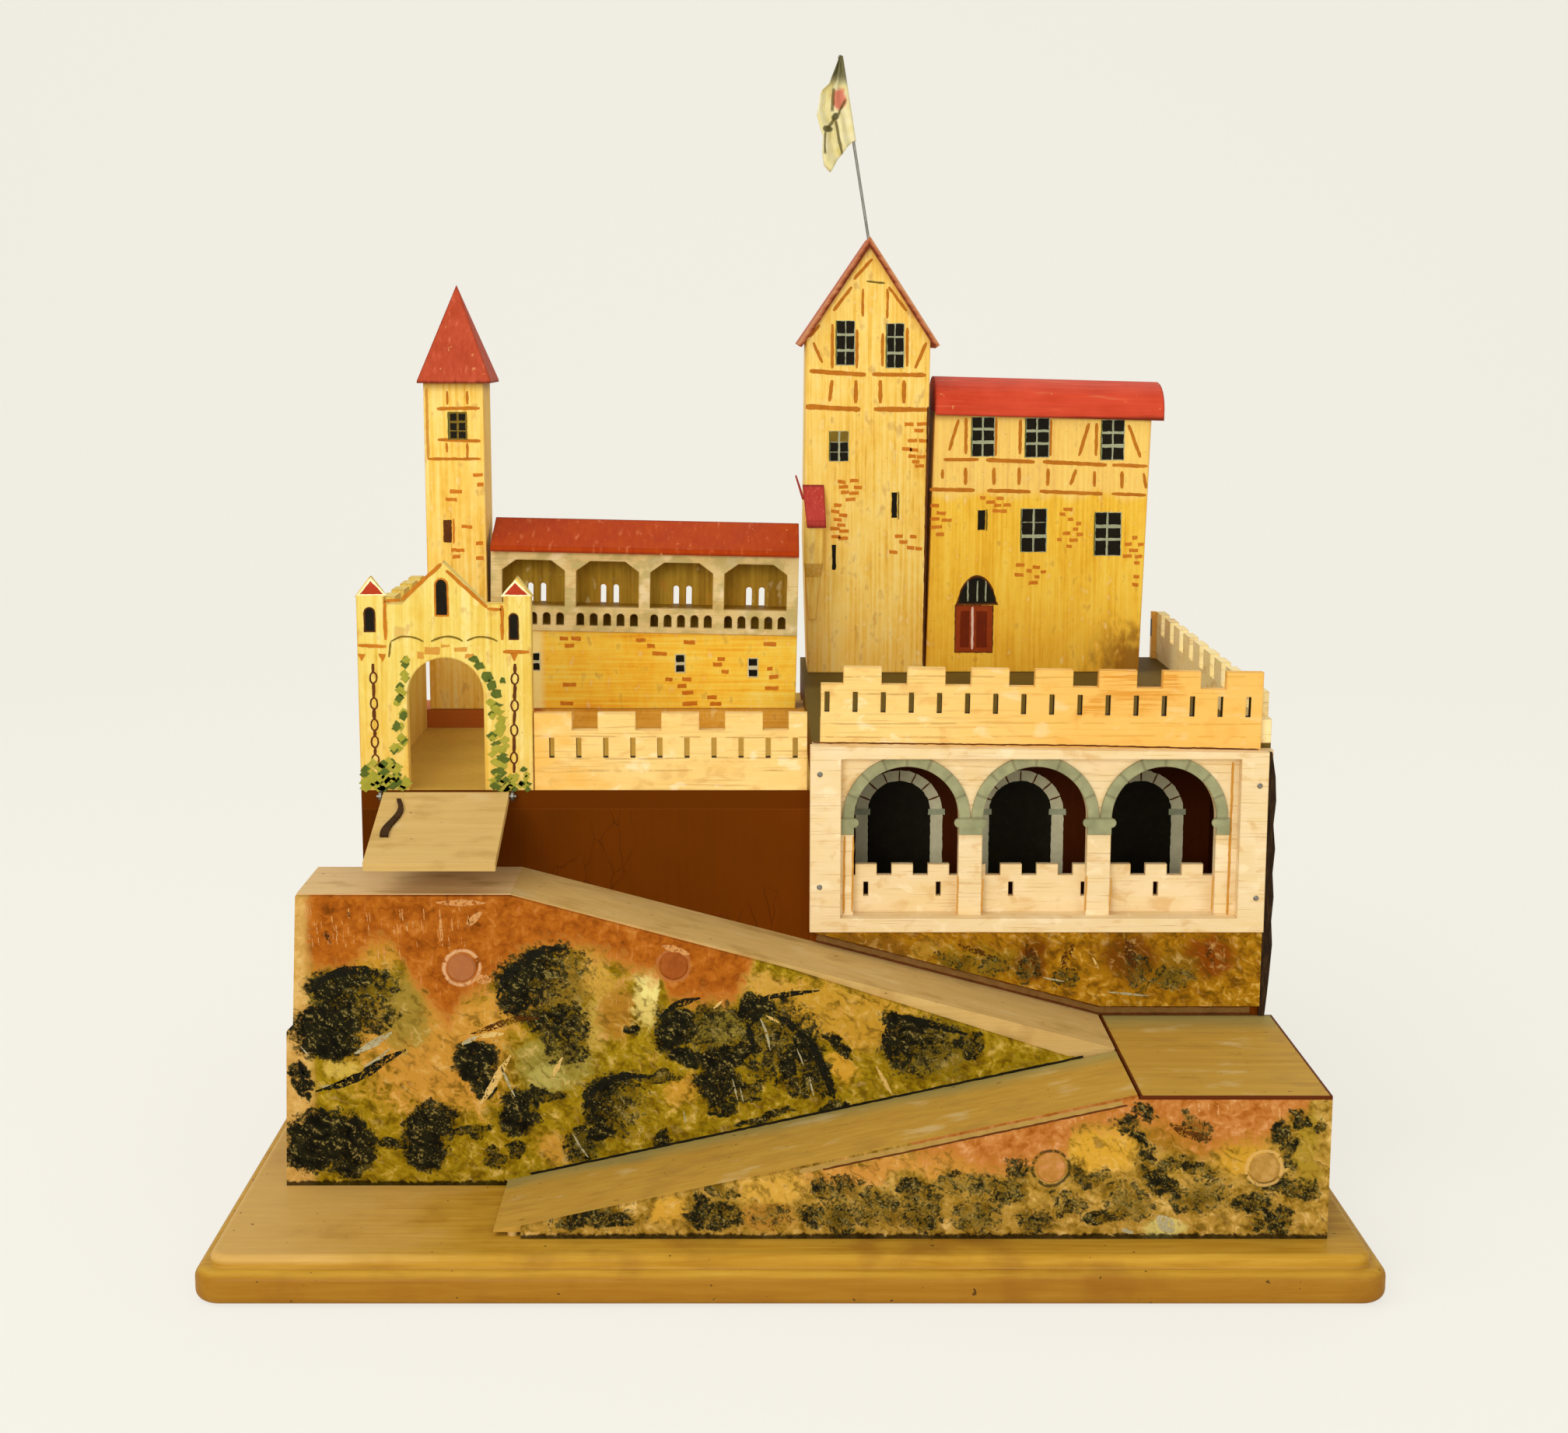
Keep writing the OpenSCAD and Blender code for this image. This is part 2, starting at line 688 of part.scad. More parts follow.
module ramp_bearers() {
    bearer_h = 9;
    bearer_w = 9;
    peg_r = 2.2;
    x1 = right_landing_x - joint_gap;
    // The lower ramp needs no bearer near its foot
    bare_foot = 60;
    x0 = ramp_foot_x + bare_foot;
    landing_low = right_landing_z - landing_edge;
    color(ramp_tan) {
        upright(left_rock_y - bearer_w, bearer_w) polygon([
            [x0, lower_ramp_z(x0) - ramp_t - bearer_h], [x1, lower_ramp_z(x1) - ramp_t - bearer_h],
            [x1, lower_ramp_z(x1) - ramp_t], [x0, lower_ramp_z(x0) - ramp_t]]);
        for (y = [left_rock_y + rock_t, hill_y - bearer_w])
            upright(y, bearer_w) polygon([
                [upper_top_x, left_landing_z - ramp_t - bearer_h],
                [x1, upper_ramp_z(x1) - ramp_t - bearer_h],
                [x1, upper_ramp_z(x1) - ramp_t], [upper_top_x, left_landing_z - ramp_t]]);
        block(right_landing_x, rock_right - rock_t, hill_y - bearer_w, hill_y,
            landing_low - bearer_h, landing_low);
        block(right_landing_x, right_landing_x + bearer_w, right_rock_y + rock_t,
            hill_y - bearer_w, base_z, landing_low);
        translate([ramp_foot_x + 8, right_rock_y + rock_t + peg_r, base_z])
            cylinder(r = peg_r, h = ramp_lift);
    }
}

module bastion_rock_panel() {
    panel_t = 3;
    lift = 5;
    x0 = frame_x;
    x1 = frame_right_x;
    color(rock_brown)
        upright(hill_y - panel_t, panel_t) polygon([
            [x0, upper_ramp_z(x0) + lift], [right_landing_x, right_landing_z + lift],
            [x1, right_landing_z + lift], [x1, frame_z], [x0, frame_z]]);
}

module corner_strip() {
    low = right_landing_z + 0.4;
    high = fort_z - 3;
    // How far the ragged bark edge stands out, from the top down
    ragged = [0, 1.9, 2.6, 1.7, 2.9, 2.1, 3, 2.3, 3.1, 2.4, 1.6, 0.6];
    last = len(ragged) - 1;
    color(leather_brown)
        upright(hill_y - strip_t, strip_t) polygon(concat(
            [[frame_right_x, low], [frame_right_x, high]],
            [for (i = [0 : last])
                [frame_right_x + strip_w - 3 + ragged[i], high + (low - high) * i / last]]));
}

module left_terrace() {
    color(wall_brown)
        block(hill_left, step_x, hill_y, hill_back, court_z - terrace_t, court_z);
}

module right_terrace() {
    color(wall_brown)
        block(step_x, hill_right, hill_y + board_t, hill_back, fort_z - terrace_t, fort_z);
}

module gallery_plinth() {
    color(wall_brown)
        block(hill_left, step_x, gallery_y, gallery_y + max(tower_w, gallery_d) + 1,
            court_z, plinth_z);
}

// Parapets
module court_parapet() {
    x0 = hill_left + gate_w + parapet_gap;
    length = step_x - 2.3 - x0;
    color(wall_yellow)
        translate([x0, 0, court_z]) upright(hill_y, parapet_t) difference() {
            crenellated(length, crenel_h, merlon_h, 0);
            slots(length, 7, court_slot_pitch);
        }
}

module court_side_wall() {
    length = court_d - gate_t;
    color(wall_yellow)
        translate([0, hill_y + gate_t, court_z]) crosswise(hill_left, gate_t)
            crenellated(length, side_wall_h, merlon_h, merlon_w / 2);
}

module bastion_parapet() {
    x0 = step_x + 3.6;
    length = hill_right - 6 - x0;
    color(wall_yellow)
        upright(hill_y, parapet_t) translate([x0, front_z(x0)]) rotate(-front_tilt)
            difference() {
                crenellated(length, crenel_h, merlon_h, 10.3);
                slots(length, 1.75, slot_pitch);
            }
}

module side_parapet() {
    y0 = hill_y + board_t;
    length = hill_back - y0;
    high = side_crenel_h + side_merlon_h;
    color(wall_yellow)
        translate([0, y0, fort_z]) crosswise(hill_right - parapet_t, parapet_t) intersection() {
            square([length, high]);
            translate([0, -side_drop]) rotate(asin(side_drop / length))
                crenellated(length + 1, side_crenel_h, side_merlon_h, 8);
        }
}

module parapet_return() {
    x1 = hill_right - parapet_t;
    color(wall_yellow)
        block(x1 - return_l, x1, hill_back - parapet_t, hill_back,
            fort_z, fort_z + side_crenel_h + side_merlon_h);
}

// Arcade and the room behind it
module arcade_screen() {
    foot = room_z - frame_sill / 2;
    color(pale_cream)
        upright(hill_y, board_t) difference() {
            polygon([[step_x, foot], [hill_right, foot], [hill_right, front_z(hill_right)],
                [step_x, front_z(step_x)]]);
            for (x = bay_x) translate([x, room_z]) arch(bay_w, bay_h);
        }
}

module arcade_frame() {
    inner_x = frame_x + frame_left;
    color(pale_cream)
        upright(hill_y - frame_t, frame_t) difference() {
            polygon([[frame_x, frame_z], [frame_right_x, frame_z],
                [frame_right_x, front_z(frame_right_x)], [frame_x, front_z(frame_x)]]);
            translate([inner_x, room_z])
                square([frame_right_x - frame_right - inner_x, fort_z - frame_head - room_z]);
        }
}

module arch_bands() {
    last = bays - 1;
    color(stone_grey)
        upright(hill_y - band_out, band_out) intersection() {
            union() {
                for (x = bay_x) translate([x, spring_z]) difference() {
                    circle(r = bay_w / 2 + arch_band);
                    circle(r = bay_w / 2);
                    translate([-bay_w, -2 * bay_w]) square([2 * bay_w, 2 * bay_w]);
                }
                for (i = [0 : last - 1]) capital(bay_x[i] + bay_w / 2, pier_w, 1, 1);
                capital(bay_x[0] - bay_w / 2 - end_pier_w, end_pier_w, 0, 1);
                capital(bay_x[last] + bay_w / 2, end_pier_w, 1, 0);
            }
            translate([frame_x + frame_left, room_z])
                square([frame_w - frame_left - frame_right, fort_z - frame_head - room_z]);
        }
}

// A capital under the arch bands, with a round roll where it meets an opening
module capital(x, w, roll_left, roll_right) {
    translate([x, spring_z - capital_h]) square([w, capital_h]);
    if (roll_left > 0)
        translate([x, spring_z - capital_out]) circle(r = capital_out);
    if (roll_right > 0)
        translate([x + w, spring_z - capital_out]) circle(r = capital_out);
}

module arcade_breast() {
    x0 = room_left + room_t;
    length = room_right - room_t - x0;
    first = bay_x[0] - bay_w / 2 - x0 + breast_shift;
    color(pale_cream)
        translate([x0, 0, room_z]) upright(hill_y + board_t, breast_t) difference() {
            union() {
                square([length, breast_h]);
                for (a = [first : breast_pitch : length - 3])
                    translate([a, 0])
                        square([min(breast_merlon_w, length - a), breast_h + breast_merlon_h]);
            }
            for (a = [first : 2 * breast_pitch : length - breast_merlon_w])
                translate([a + (breast_merlon_w - slot_w) / 2, breast_slot_z])
                    square([slot_w, breast_slot_h]);
        }
}

module room_floor() {
    color(wall_brown)
        block(room_left, room_right, hill_y + board_t, hill_y + board_t + room_d,
            room_z - room_t, room_z);
}

module room_back() {
    y0 = hill_y + board_t + room_d;
    color(wall_brown)
        block(room_left, room_right, y0, y0 + room_t, room_z - room_t, fort_z - terrace_t);
}

module room_cheeks() {
    color(wall_brown)
        for (x = [room_left, room_right - room_t])
            block(x, x + room_t, hill_y + board_t, hill_y + board_t + room_d,
                room_z, fort_z - terrace_t);
}

module frame_nails() {
    // Each nail's place in the frame, as shares of its width and height
    places = [[0.0213, 0.2457], [0.0213, 0.8549], [0.9811, 0.1863], [0.9811, 0.7931]];
    color(wire_grey)
        for (p = places)
            translate([frame_x + p[0] * frame_w, hill_y - frame_t,
                frame_z + p[1] * frame_height]) rotate([90, 0, 0])
                cylinder(r1 = nail_r, r2 = nail_r * 0.6, h = nail_h);
}

// Gate
module gatehouse() {
    inner = gate_w - turret_w;
    mid = gate_w / 2;
    color(wall_yellow)
        translate([hill_left, 0, court_z]) upright(hill_y, gate_t) difference() {
            polygon([
                [0, 0], [gate_w, 0], [gate_w, turret_h], [gate_w + turret_eave, turret_h],
                [gate_w - turret_w / 2, turret_h + turret_cap_h],
                [inner - turret_eave, turret_h], [inner, turret_h], [inner, shoulder_h],
                [mid + gable_w / 2, shoulder_h], [mid, gable_h],
                [mid - gable_w / 2, shoulder_h], [turret_w, shoulder_h],
                [turret_w, turret_h], [turret_w + turret_eave, turret_h],
                [turret_w / 2, turret_h + turret_cap_h], [-turret_eave, turret_h],
                [0, turret_h]]);
            translate([mid, -gate_arch_w]) arch(gate_arch_w, gate_arch_h + gate_arch_w);
        }
}

// Two staples of wire in the terrace's edge hold the ends of the bridge's pin
module bridge_staples() {
    wire = 0.6;
    depth = 4;
    loop_r = pin_r + pin_gap + wire;
    side_gap = 1.5;
    color(wire_grey)
        for (x = [bridge_x - side_gap, bridge_x + bridge_w + side_gap])
            translate([x - wire, pin_y, pin_z]) {
                crosswise(0, 2 * wire) difference() {
                    union() {
                        circle(r = loop_r + wire);
                        translate([0, -loop_r - wire])
                            square([pin_out + depth, 2 * (loop_r + wire)]);
                    }
                    circle(r = pin_r + pin_gap);
                    translate([0, -pin_r - pin_gap])
                        square([pin_out + depth + 1, 2 * (pin_r + pin_gap)]);
                }
            }
}

// Drawbridge, drawn level and then let down to its slope
module lowered() {
    translate([0, pin_y, pin_z]) rotate([bridge_slope, 0, 0]) children();
}

module drawbridge() {
    color(ramp_tan)
        lowered() crosswise(bridge_x, bridge_w) difference() {
            union() {
                circle(d = bridge_t);
                translate([-bridge_l, -bridge_t / 2]) square([bridge_l, bridge_t]);
            }
            circle(r = pin_r + pin_gap);
        }
}

module bridge_pin() {
    past = 3.2;
    color(wire_grey)
        translate([bridge_x - past, pin_y, pin_z]) rotate([0, 90, 0])
            cylinder(r = pin_r, h = bridge_w + 2 * past);
}

// A leather pull, tacked down at its thick end and curled at the other
module bridge_pull() {
    inset = 6;
    start = 8;
    steps = 12;
    sway = 2.2;
    function mid(t) = [inset + sway + sway * sin(300 * t), -start - t * pull_l];
    function half(t) = pull_w / 2 * (0.6 + 0.6 * t);
    color(leather_brown)
        lowered() translate([bridge_x, 0, bridge_t / 2]) linear_extrude(pull_t) polygon(concat(
            [for (i = [0 : steps]) mid(i / steps) - [half(i / steps), 0]],
            [for (i = [steps : -1 : 0]) mid(i / steps) + [half(i / steps), 0]]));
}

// Tower
module tower_post() {
    color(wall_yellow)
        block(tower_x, tower_x + tower_w, gallery_y, gallery_y + tower_w,
            plinth_z + seat, plinth_z + tower_h);
}

module tower_roof() {
    half = tower_w / 2 + tower_eave;
    mid = tower_w / 2;
    color(roof_red)
        translate([tower_x + mid + tower_roof_off, gallery_y + mid, plinth_z + tower_h]) {
            translate([-half, -half, 0]) cube([2 * half, 2 * half, tower_rim]);
            translate([0, 0, tower_rim]) rotate(45)
                cylinder(r1 = half * sqrt(2), r2 = 0, h = tower_roof_h - tower_rim, $fn = 4);
        }
}

// Gallery
module in_gallery() {
    leaning(gallery_x, plinth_z + seat, gallery_lean)
        translate([gallery_x, gallery_y, plinth_z + seat]) children();
}

below = 6;

module gallery_wall() {
    color(wall_yellow)
        in_gallery() block(0, gallery_w, screen_out, screen_out + wall_t, -below, screen_z);
}

module gallery_screen() {
    color(pale_cream)
        in_gallery() upright(0, screen_t) difference() {
            translate([0, screen_z]) square([gallery_w, screen_top - screen_z]);
            for (i = [0 : gallery_bays - 1]) {
                x = gallery_post + i * gallery_bay_pitch;
                translate([x, gallery_floor_h]) polygon([
                    [0, 0], [gallery_bay_w, 0],
                    [gallery_bay_w, gallery_bay_h - gallery_chamfer_h],
                    [gallery_bay_w - gallery_chamfer, gallery_bay_h],
                    [gallery_chamfer, gallery_bay_h], [0, gallery_bay_h - gallery_chamfer_h]]);
                first = x + gallery_bay_w / 2 - (recesses - 1) / 2 * recess_pitch;
                for (j = [0 : recesses - 1])
                    translate([first + j * recess_pitch, screen_z + recess_strip])
                        arch(recess_w, recess_h);
            }
        }
}

module gallery_back() {
    color(wall_yellow)
        in_gallery() upright(gallery_d - wall_t, wall_t) difference() {
            translate([0, -below]) square([gallery_w, below + back_top]);
            for (i = [0 : gallery_bays - 1], side = [-1, 1]) {
                x = gallery_post + i * gallery_bay_pitch + gallery_bay_w / 2;
                translate([x + side * lancet_pitch / 2, gallery_floor_h]) arch(lancet_w, lancet_h);
            }
        }
}

module gallery_ends() {
    y0 = screen_out + wall_t;
    y1 = gallery_d - wall_t;
    front_top = screen_top + lean_rise * screen_t / gallery_d;
    color(wall_yellow)
        in_gallery()
            for (x = [0, gallery_w - wall_t]) crosswise(x, wall_t) polygon([
                [y0, -below], [y1, -below], [y1, screen_top + lean_rise * y1 / gallery_d],
                [screen_t, front_top], [screen_t, gallery_floor_h], [y0, gallery_floor_h]]);
}

module gallery_floor() {
    color(wall_yellow)
        in_gallery() block(wall_t, gallery_w - wall_t, screen_out + wall_t, gallery_d - wall_t,
            gallery_floor_h - room_t, gallery_floor_h);
}

module gallery_roof() {
    function lean_at(y) = screen_top + lean_rise * y / gallery_d;
    y0 = -eave;
    y1 = gallery_d + 1;
    color(roof_red)
        in_gallery() crosswise(0, gallery_w) polygon([
            [y0, lean_at(y0)], [y1, lean_at(y1)], [y1, lean_at(y1) + roof_t],
            [y0 + 1, lean_at(y0) + roof_t]]);
}

// Keep
module in_keep() {
    leaning(step_x, fort_z + seat, keep_lean)
        translate([step_x, keep_y, fort_z + seat]) children();
}

module keep_gables() {
    color(wall_yellow)
        in_keep()
            for (y = [0, keep_d - wall_t]) upright(y, wall_t) polygon([
                [keep_foot_in, -below], [keep_w, -below], [keep_w, keep_h],
                [keep_half, keep_h + keep_gable], [0, keep_h], [0, oriel_z + 12]]);
}

module keep_sides() {
    color(wall_yellow)
        in_keep() {
            inner_h = keep_h + wall_t * keep_gable / keep_half;
            upright(wall_t, keep_d - 2 * wall_t) {
                polygon([[0, keep_h], [wall_t, inner_h], [wall_t, oriel_z + 12],
                    [wall_t + keep_foot_in, -below], [keep_foot_in, -below], [0, oriel_z + 12]]);
                polygon([[keep_w, keep_h], [keep_w - wall_t, inner_h],
                    [keep_w - wall_t, -below], [keep_w, -below]]);
            }
        }
}

// The pole's hole and the pole share one axis, given by its top at the ridge
ridge_z = fort_z + seat + keep_h + keep_gable + roof_t / cos(keep_pitch);
module on_pole_axis() {
    lean_shift = (ridge_z - fort_z - seat) * tan(keep_lean);
    translate([step_x + keep_half + lean_shift, keep_y + pole_back, ridge_z])
        rotate([0, -pole_lean, 0]) children();
}

module keep_ridge() {
    block_h = 15;
    half = block_h * keep_half / keep_gable;
    color(ramp_tan)
        difference() {
            in_keep() upright(wall_t, keep_d - 2 * wall_t) polygon([
                [keep_half - half, keep_h + keep_gable - block_h],
                [keep_half + half, keep_h + keep_gable - block_h],
                [keep_half, keep_h + keep_gable]]);
            on_pole_axis() translate([0, 0, -pole_seat - 0.3])
                cylinder(r = pole_r + pole_gap, h = pole_seat + 5);
        }
}

module keep_roof() {
    // Past the wall the boards run on by the eave, along their slope
    run = keep_half / cos(keep_pitch) + eave + 0.6;
    drop = run * sin(keep_pitch);
    reach = run * cos(keep_pitch);
    thick = roof_t / cos(keep_pitch);
    color(roof_red)
        difference() {
            in_keep() translate([keep_half, 0, keep_h + keep_gable]) {
                for (side = [0, 1]) mirror([side, 0, 0])
                    upright(-eave, keep_d + eave + 1) polygon([
                        [0, 0], [0, thick], [reach + roof_t * sin(keep_pitch),
                            -drop + roof_t * cos(keep_pitch)], [reach, -drop]]);
            }
            on_pole_axis() translate([0, 0, -pole_seat])
                cylinder(r = pole_r + pole_gap, h = pole_seat + 5);
        }
}

// A small bay on the keep's front, with a long tapered foot and a steep lean-to roof
oriel_eave = oriel_z + oriel_h;
oriel_ridge = oriel_eave + oriel_rise;
oriel_past = 2;
oriel_board = 4.4;
oriel_taper = 30;
oriel_slope = (oriel_rise - oriel_board) / (oriel_out + oriel_past);

module oriel() {
    foot_z = oriel_z - oriel_taper;
    waist_z = oriel_z - 6;
    color(wall_yellow)
        in_keep() intersection() {
            upright(-oriel_out, oriel_out) polygon([
                [keep_foot_in, foot_z], [oriel_w - keep_foot_in, foot_z], [oriel_w - 1, waist_z],
                [oriel_w, oriel_z + 2], [oriel_w, oriel_ridge], [0, oriel_ridge],
                [0, oriel_z + 2], [1, waist_z]]);
            crosswise(-1, oriel_w + 2) polygon([
                [0, foot_z], [-1, foot_z], [-2.5, waist_z], [-oriel_out, oriel_z + 2],
                [-oriel_out, oriel_eave + oriel_past * oriel_slope],
                [0, oriel_ridge - oriel_board]]);
        }
}

// The bay's roof sits askew, and a splinter stands off its upper corner
module oriel_roof() {
    reach = oriel_out + oriel_past;
    askew = 2.6;
    over = 1.2;
    x1 = oriel_w + over - 1;
    splinter = [oriel_ridge - 8, oriel_ridge + 5.5];
    color(roof_red)
        in_keep() {
            intersection() {
                upright(-reach, reach) polygon([
                    [-over, oriel_ridge], [askew - over, oriel_eave], [x1 + askew / 2, oriel_eave],
                    [x1, oriel_ridge]]);
                crosswise(-over - 1, x1 + over + askew + 2) polygon([
                    [0, oriel_ridge - oriel_board], [-reach, oriel_eave],
                    [-reach, oriel_eave + oriel_board], [0, oriel_ridge]]);
            }
            upright(-4, 2.5) polygon([
                [-over - 0.2, splinter[0]], [-over + 1.4, splinter[0]],
                [-over - 3.4, splinter[1]], [-over - 4.2, splinter[1] - 0.6]]);
        }
}

// Hall
module in_hall() {
    leaning(hall_x, fort_z + seat, hall_lean)
        translate([hall_x, keep_y + 3, fort_z + seat]) children();
}

module hall_walls() {
    inner_w = hall_w - 2 * wall_t;
    color(wall_yellow)
        in_hall() {
            block(0, hall_w, 0, wall_t, -below, hall_h);
            block(0, hall_w, hall_d - wall_t, hall_d, -below, hall_h);
            for (x = [0, wall_t + inner_w]) crosswise(x, wall_t)
                translate([wall_t, -below]) square([hall_d - 2 * wall_t, hall_h + below]);
        }
}

// The roof is one shaped block: steep near the eaves and rounded over the ridge
module hall_roof() {
    mid = hall_d / 2;
    r = hall_roof_half;
    // Height across the half roof, as a share of its rise
    curve = [for (t = [0 : 1 / 8 : 1]) [r * cos(90 * t), hall_rise * pow(sin(90 * t), 0.8)]];
    color(roof_red)
        in_hall() translate([0, mid, hall_h]) crosswise(0, hall_w + hall_end)
            polygon(concat([[r, -1.6]], curve, [for (i = [7 : -1 : 0]) [-curve[i][0], curve[i][1]]],
                [[-r, -1.6], [-r + 1.2, -1.6], [-mid, 0], [mid, 0], [r - 1.2, -1.6]]));
}

// Flag
module flagpole() {
    color(wire_grey)
        on_pole_axis() translate([0, 0, -pole_seat])
            cylinder(r = pole_r, h = pole_seat + pole_l);
}

// The cloth hangs from its hem: it reaches left, drops at its free corner and folds
module flag() {
    columns = 10;
    rows = 12;
    near = pole_r + pole_gap + hem_t * 0.7;
    foot = pole_l - flag_top_gap - flag_hoist;
    // u runs from the hem outwards and v from the flag's foot to its top, both 0 to 1
    function spot(u, v, side) = [
        -near - flag_reach * pow(u, 0.9) * (1 - 0.25 * v),
        flag_fold * u * sin(360 * flag_folds * u + 80 * v) + side * flag_t / 2,
        foot + flag_hoist * v - u * u * (0.62 * flag_drop + 0.38 * flag_drop * v) - 2 * u];
    n = columns + 1;
    per_side = n * (rows + 1);
    points = [for (side = [-1, 1], j = [0 : rows], i = [0 : columns])
        spot(i / columns, j / rows, side)];
    function at(side, i, j) = side * per_side + j * n + i;
    // Two triangles for a patch between four points, given in turn round its rim
    function patch(a, b, c, d) = [[a, c, b], [a, d, c]];
    faces = concat(
        [for (j = [0 : rows - 1], i = [0 : columns - 1]) each
            patch(at(0, i, j), at(0, i, j + 1), at(0, i + 1, j + 1), at(0, i + 1, j))],
        [for (j = [0 : rows - 1], i = [0 : columns - 1]) each
            patch(at(1, i, j), at(1, i + 1, j), at(1, i + 1, j + 1), at(1, i, j + 1))],
        [for (j = [0 : rows - 1]) each
            patch(at(0, 0, j), at(1, 0, j), at(1, 0, j + 1), at(0, 0, j + 1))],
        [for (j = [0 : rows - 1]) each
            patch(at(0, columns, j), at(0, columns, j + 1), at(1, columns, j + 1),
                at(1, columns, j))],
        [for (i = [0 : columns - 1]) each
            patch(at(0, i, 0), at(0, i + 1, 0), at(1, i + 1, 0), at(1, i, 0))],
        [for (i = [0 : columns - 1]) each
            patch(at(0, i, rows), at(1, i, rows), at(1, i + 1, rows), at(0, i + 1, rows))]);
    color(pale_cream)
        on_pole_axis() {
            polyhedron(points, faces);
            translate([0, 0, foot]) difference() {
                cylinder(r = pole_r + pole_gap + hem_t, h = flag_hoist);
                translate([0, 0, -1]) cylinder(r = pole_r + pole_gap, h = flag_hoist + 2);
            }
        }
}

base_board();
hill_front_wall();
hill_left_wall();
hill_right_wall();
hill_back_wall();
bastion_front_wall();
bastion_step_wall();
corner_battens();
left_rock_face();
left_rock_end();
left_rock_back();
right_rock_face();
right_rock_end();
rock_plugs();
lower_ramp();
upper_ramp();
left_landing();
right_landing();
ramp_bearers();
bastion_rock_panel();
corner_strip();
left_terrace();
right_terrace();
gallery_plinth();
court_parapet();
court_side_wall();
bastion_parapet();
side_parapet();
parapet_return();
arcade_screen();
arcade_frame();
arch_bands();
arcade_breast();
room_floor();
room_back();
room_cheeks();
frame_nails();
gatehouse();
bridge_staples();
drawbridge();
bridge_pin();
bridge_pull();
tower_post();
tower_roof();
gallery_wall();
gallery_screen();
gallery_back();
gallery_ends();
gallery_floor();
gallery_roof();
keep_gables();
keep_sides();
keep_ridge();
keep_roof();
oriel();
oriel_roof();
hall_walls();
hall_roof();
flagpole();
flag();
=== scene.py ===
# %% [markdown]
# # A painted wooden play castle
# The construction comes from the packed model: every board, ramp and roof is already there at its
# real size, in metres. This script gives the boards their paint, grain and wear, lays the painted
# windows, timbers, bricks and chains on them as thin coats of paint, hangs the cloth flag, and
# lights the whole. The frame is loaded first.

# %% Load the construction
import functools
import math
import random

import bmesh
import bpy
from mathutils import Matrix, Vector


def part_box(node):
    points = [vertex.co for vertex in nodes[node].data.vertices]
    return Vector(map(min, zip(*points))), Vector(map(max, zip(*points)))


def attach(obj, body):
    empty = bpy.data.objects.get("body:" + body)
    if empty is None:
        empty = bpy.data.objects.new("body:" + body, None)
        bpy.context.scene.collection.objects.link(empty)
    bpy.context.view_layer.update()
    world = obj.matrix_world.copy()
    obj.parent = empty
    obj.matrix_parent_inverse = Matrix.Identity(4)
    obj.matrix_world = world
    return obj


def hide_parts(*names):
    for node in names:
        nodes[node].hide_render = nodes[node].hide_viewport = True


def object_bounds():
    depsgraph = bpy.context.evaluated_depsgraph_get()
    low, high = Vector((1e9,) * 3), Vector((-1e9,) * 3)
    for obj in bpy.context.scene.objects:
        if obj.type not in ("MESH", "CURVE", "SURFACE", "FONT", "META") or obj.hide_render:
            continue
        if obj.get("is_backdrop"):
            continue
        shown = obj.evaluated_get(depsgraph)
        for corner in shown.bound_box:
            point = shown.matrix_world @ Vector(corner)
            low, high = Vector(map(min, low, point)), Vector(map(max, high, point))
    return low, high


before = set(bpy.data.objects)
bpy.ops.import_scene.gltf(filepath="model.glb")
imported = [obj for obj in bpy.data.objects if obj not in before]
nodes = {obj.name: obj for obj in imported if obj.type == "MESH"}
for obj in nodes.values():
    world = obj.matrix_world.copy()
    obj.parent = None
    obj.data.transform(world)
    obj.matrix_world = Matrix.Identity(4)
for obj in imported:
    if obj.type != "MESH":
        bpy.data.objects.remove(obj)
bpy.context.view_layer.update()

# %% [markdown]
# ## The camera
# The castle is seen from the front, a little from above, with the base board's front edge about
# 0.9 m away. A camera can be set by eye, but then every terrace falls a little off. Here its place
# and its lens are fitted to where ramps and terraces lie in the picture. A small sideways shift
# frames the castle without turning the camera.

# %% Place the camera
MM = 0.001
LOOKS_DOWN = 9.304
base_low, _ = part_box("base_board")


def add(name, data):
    """A new object in the scene."""
    made = bpy.data.objects.new(name, data)
    bpy.context.scene.collection.objects.link(made)
    return made


camera = add("Camera", bpy.data.cameras.new("Camera"))
bpy.context.scene.camera = camera
camera.data.sensor_width = 36
camera.data.lens = 53.57
camera.data.shift_x = 0.0179
camera.location = (-0.0144, base_low[1] - 0.918, 0.3994)
camera.rotation_euler = (math.radians(90 - LOOKS_DOWN), 0, 0)
camera.data.clip_start, camera.data.clip_end = 0.01, 50
print("camera at", [round(v, 3) for v in camera.location])

# %% [markdown]
# ## Writing a finish as sums
# A finish is a node tree, and a tree of thirty nodes is hard to read as thirty calls. Here a socket
# is wrapped in a small class, so that `1 - mask` or `place / 4` adds the Math node by itself. A
# vector or colour goes through Vector Math instead, because a Math node would turn it grey.

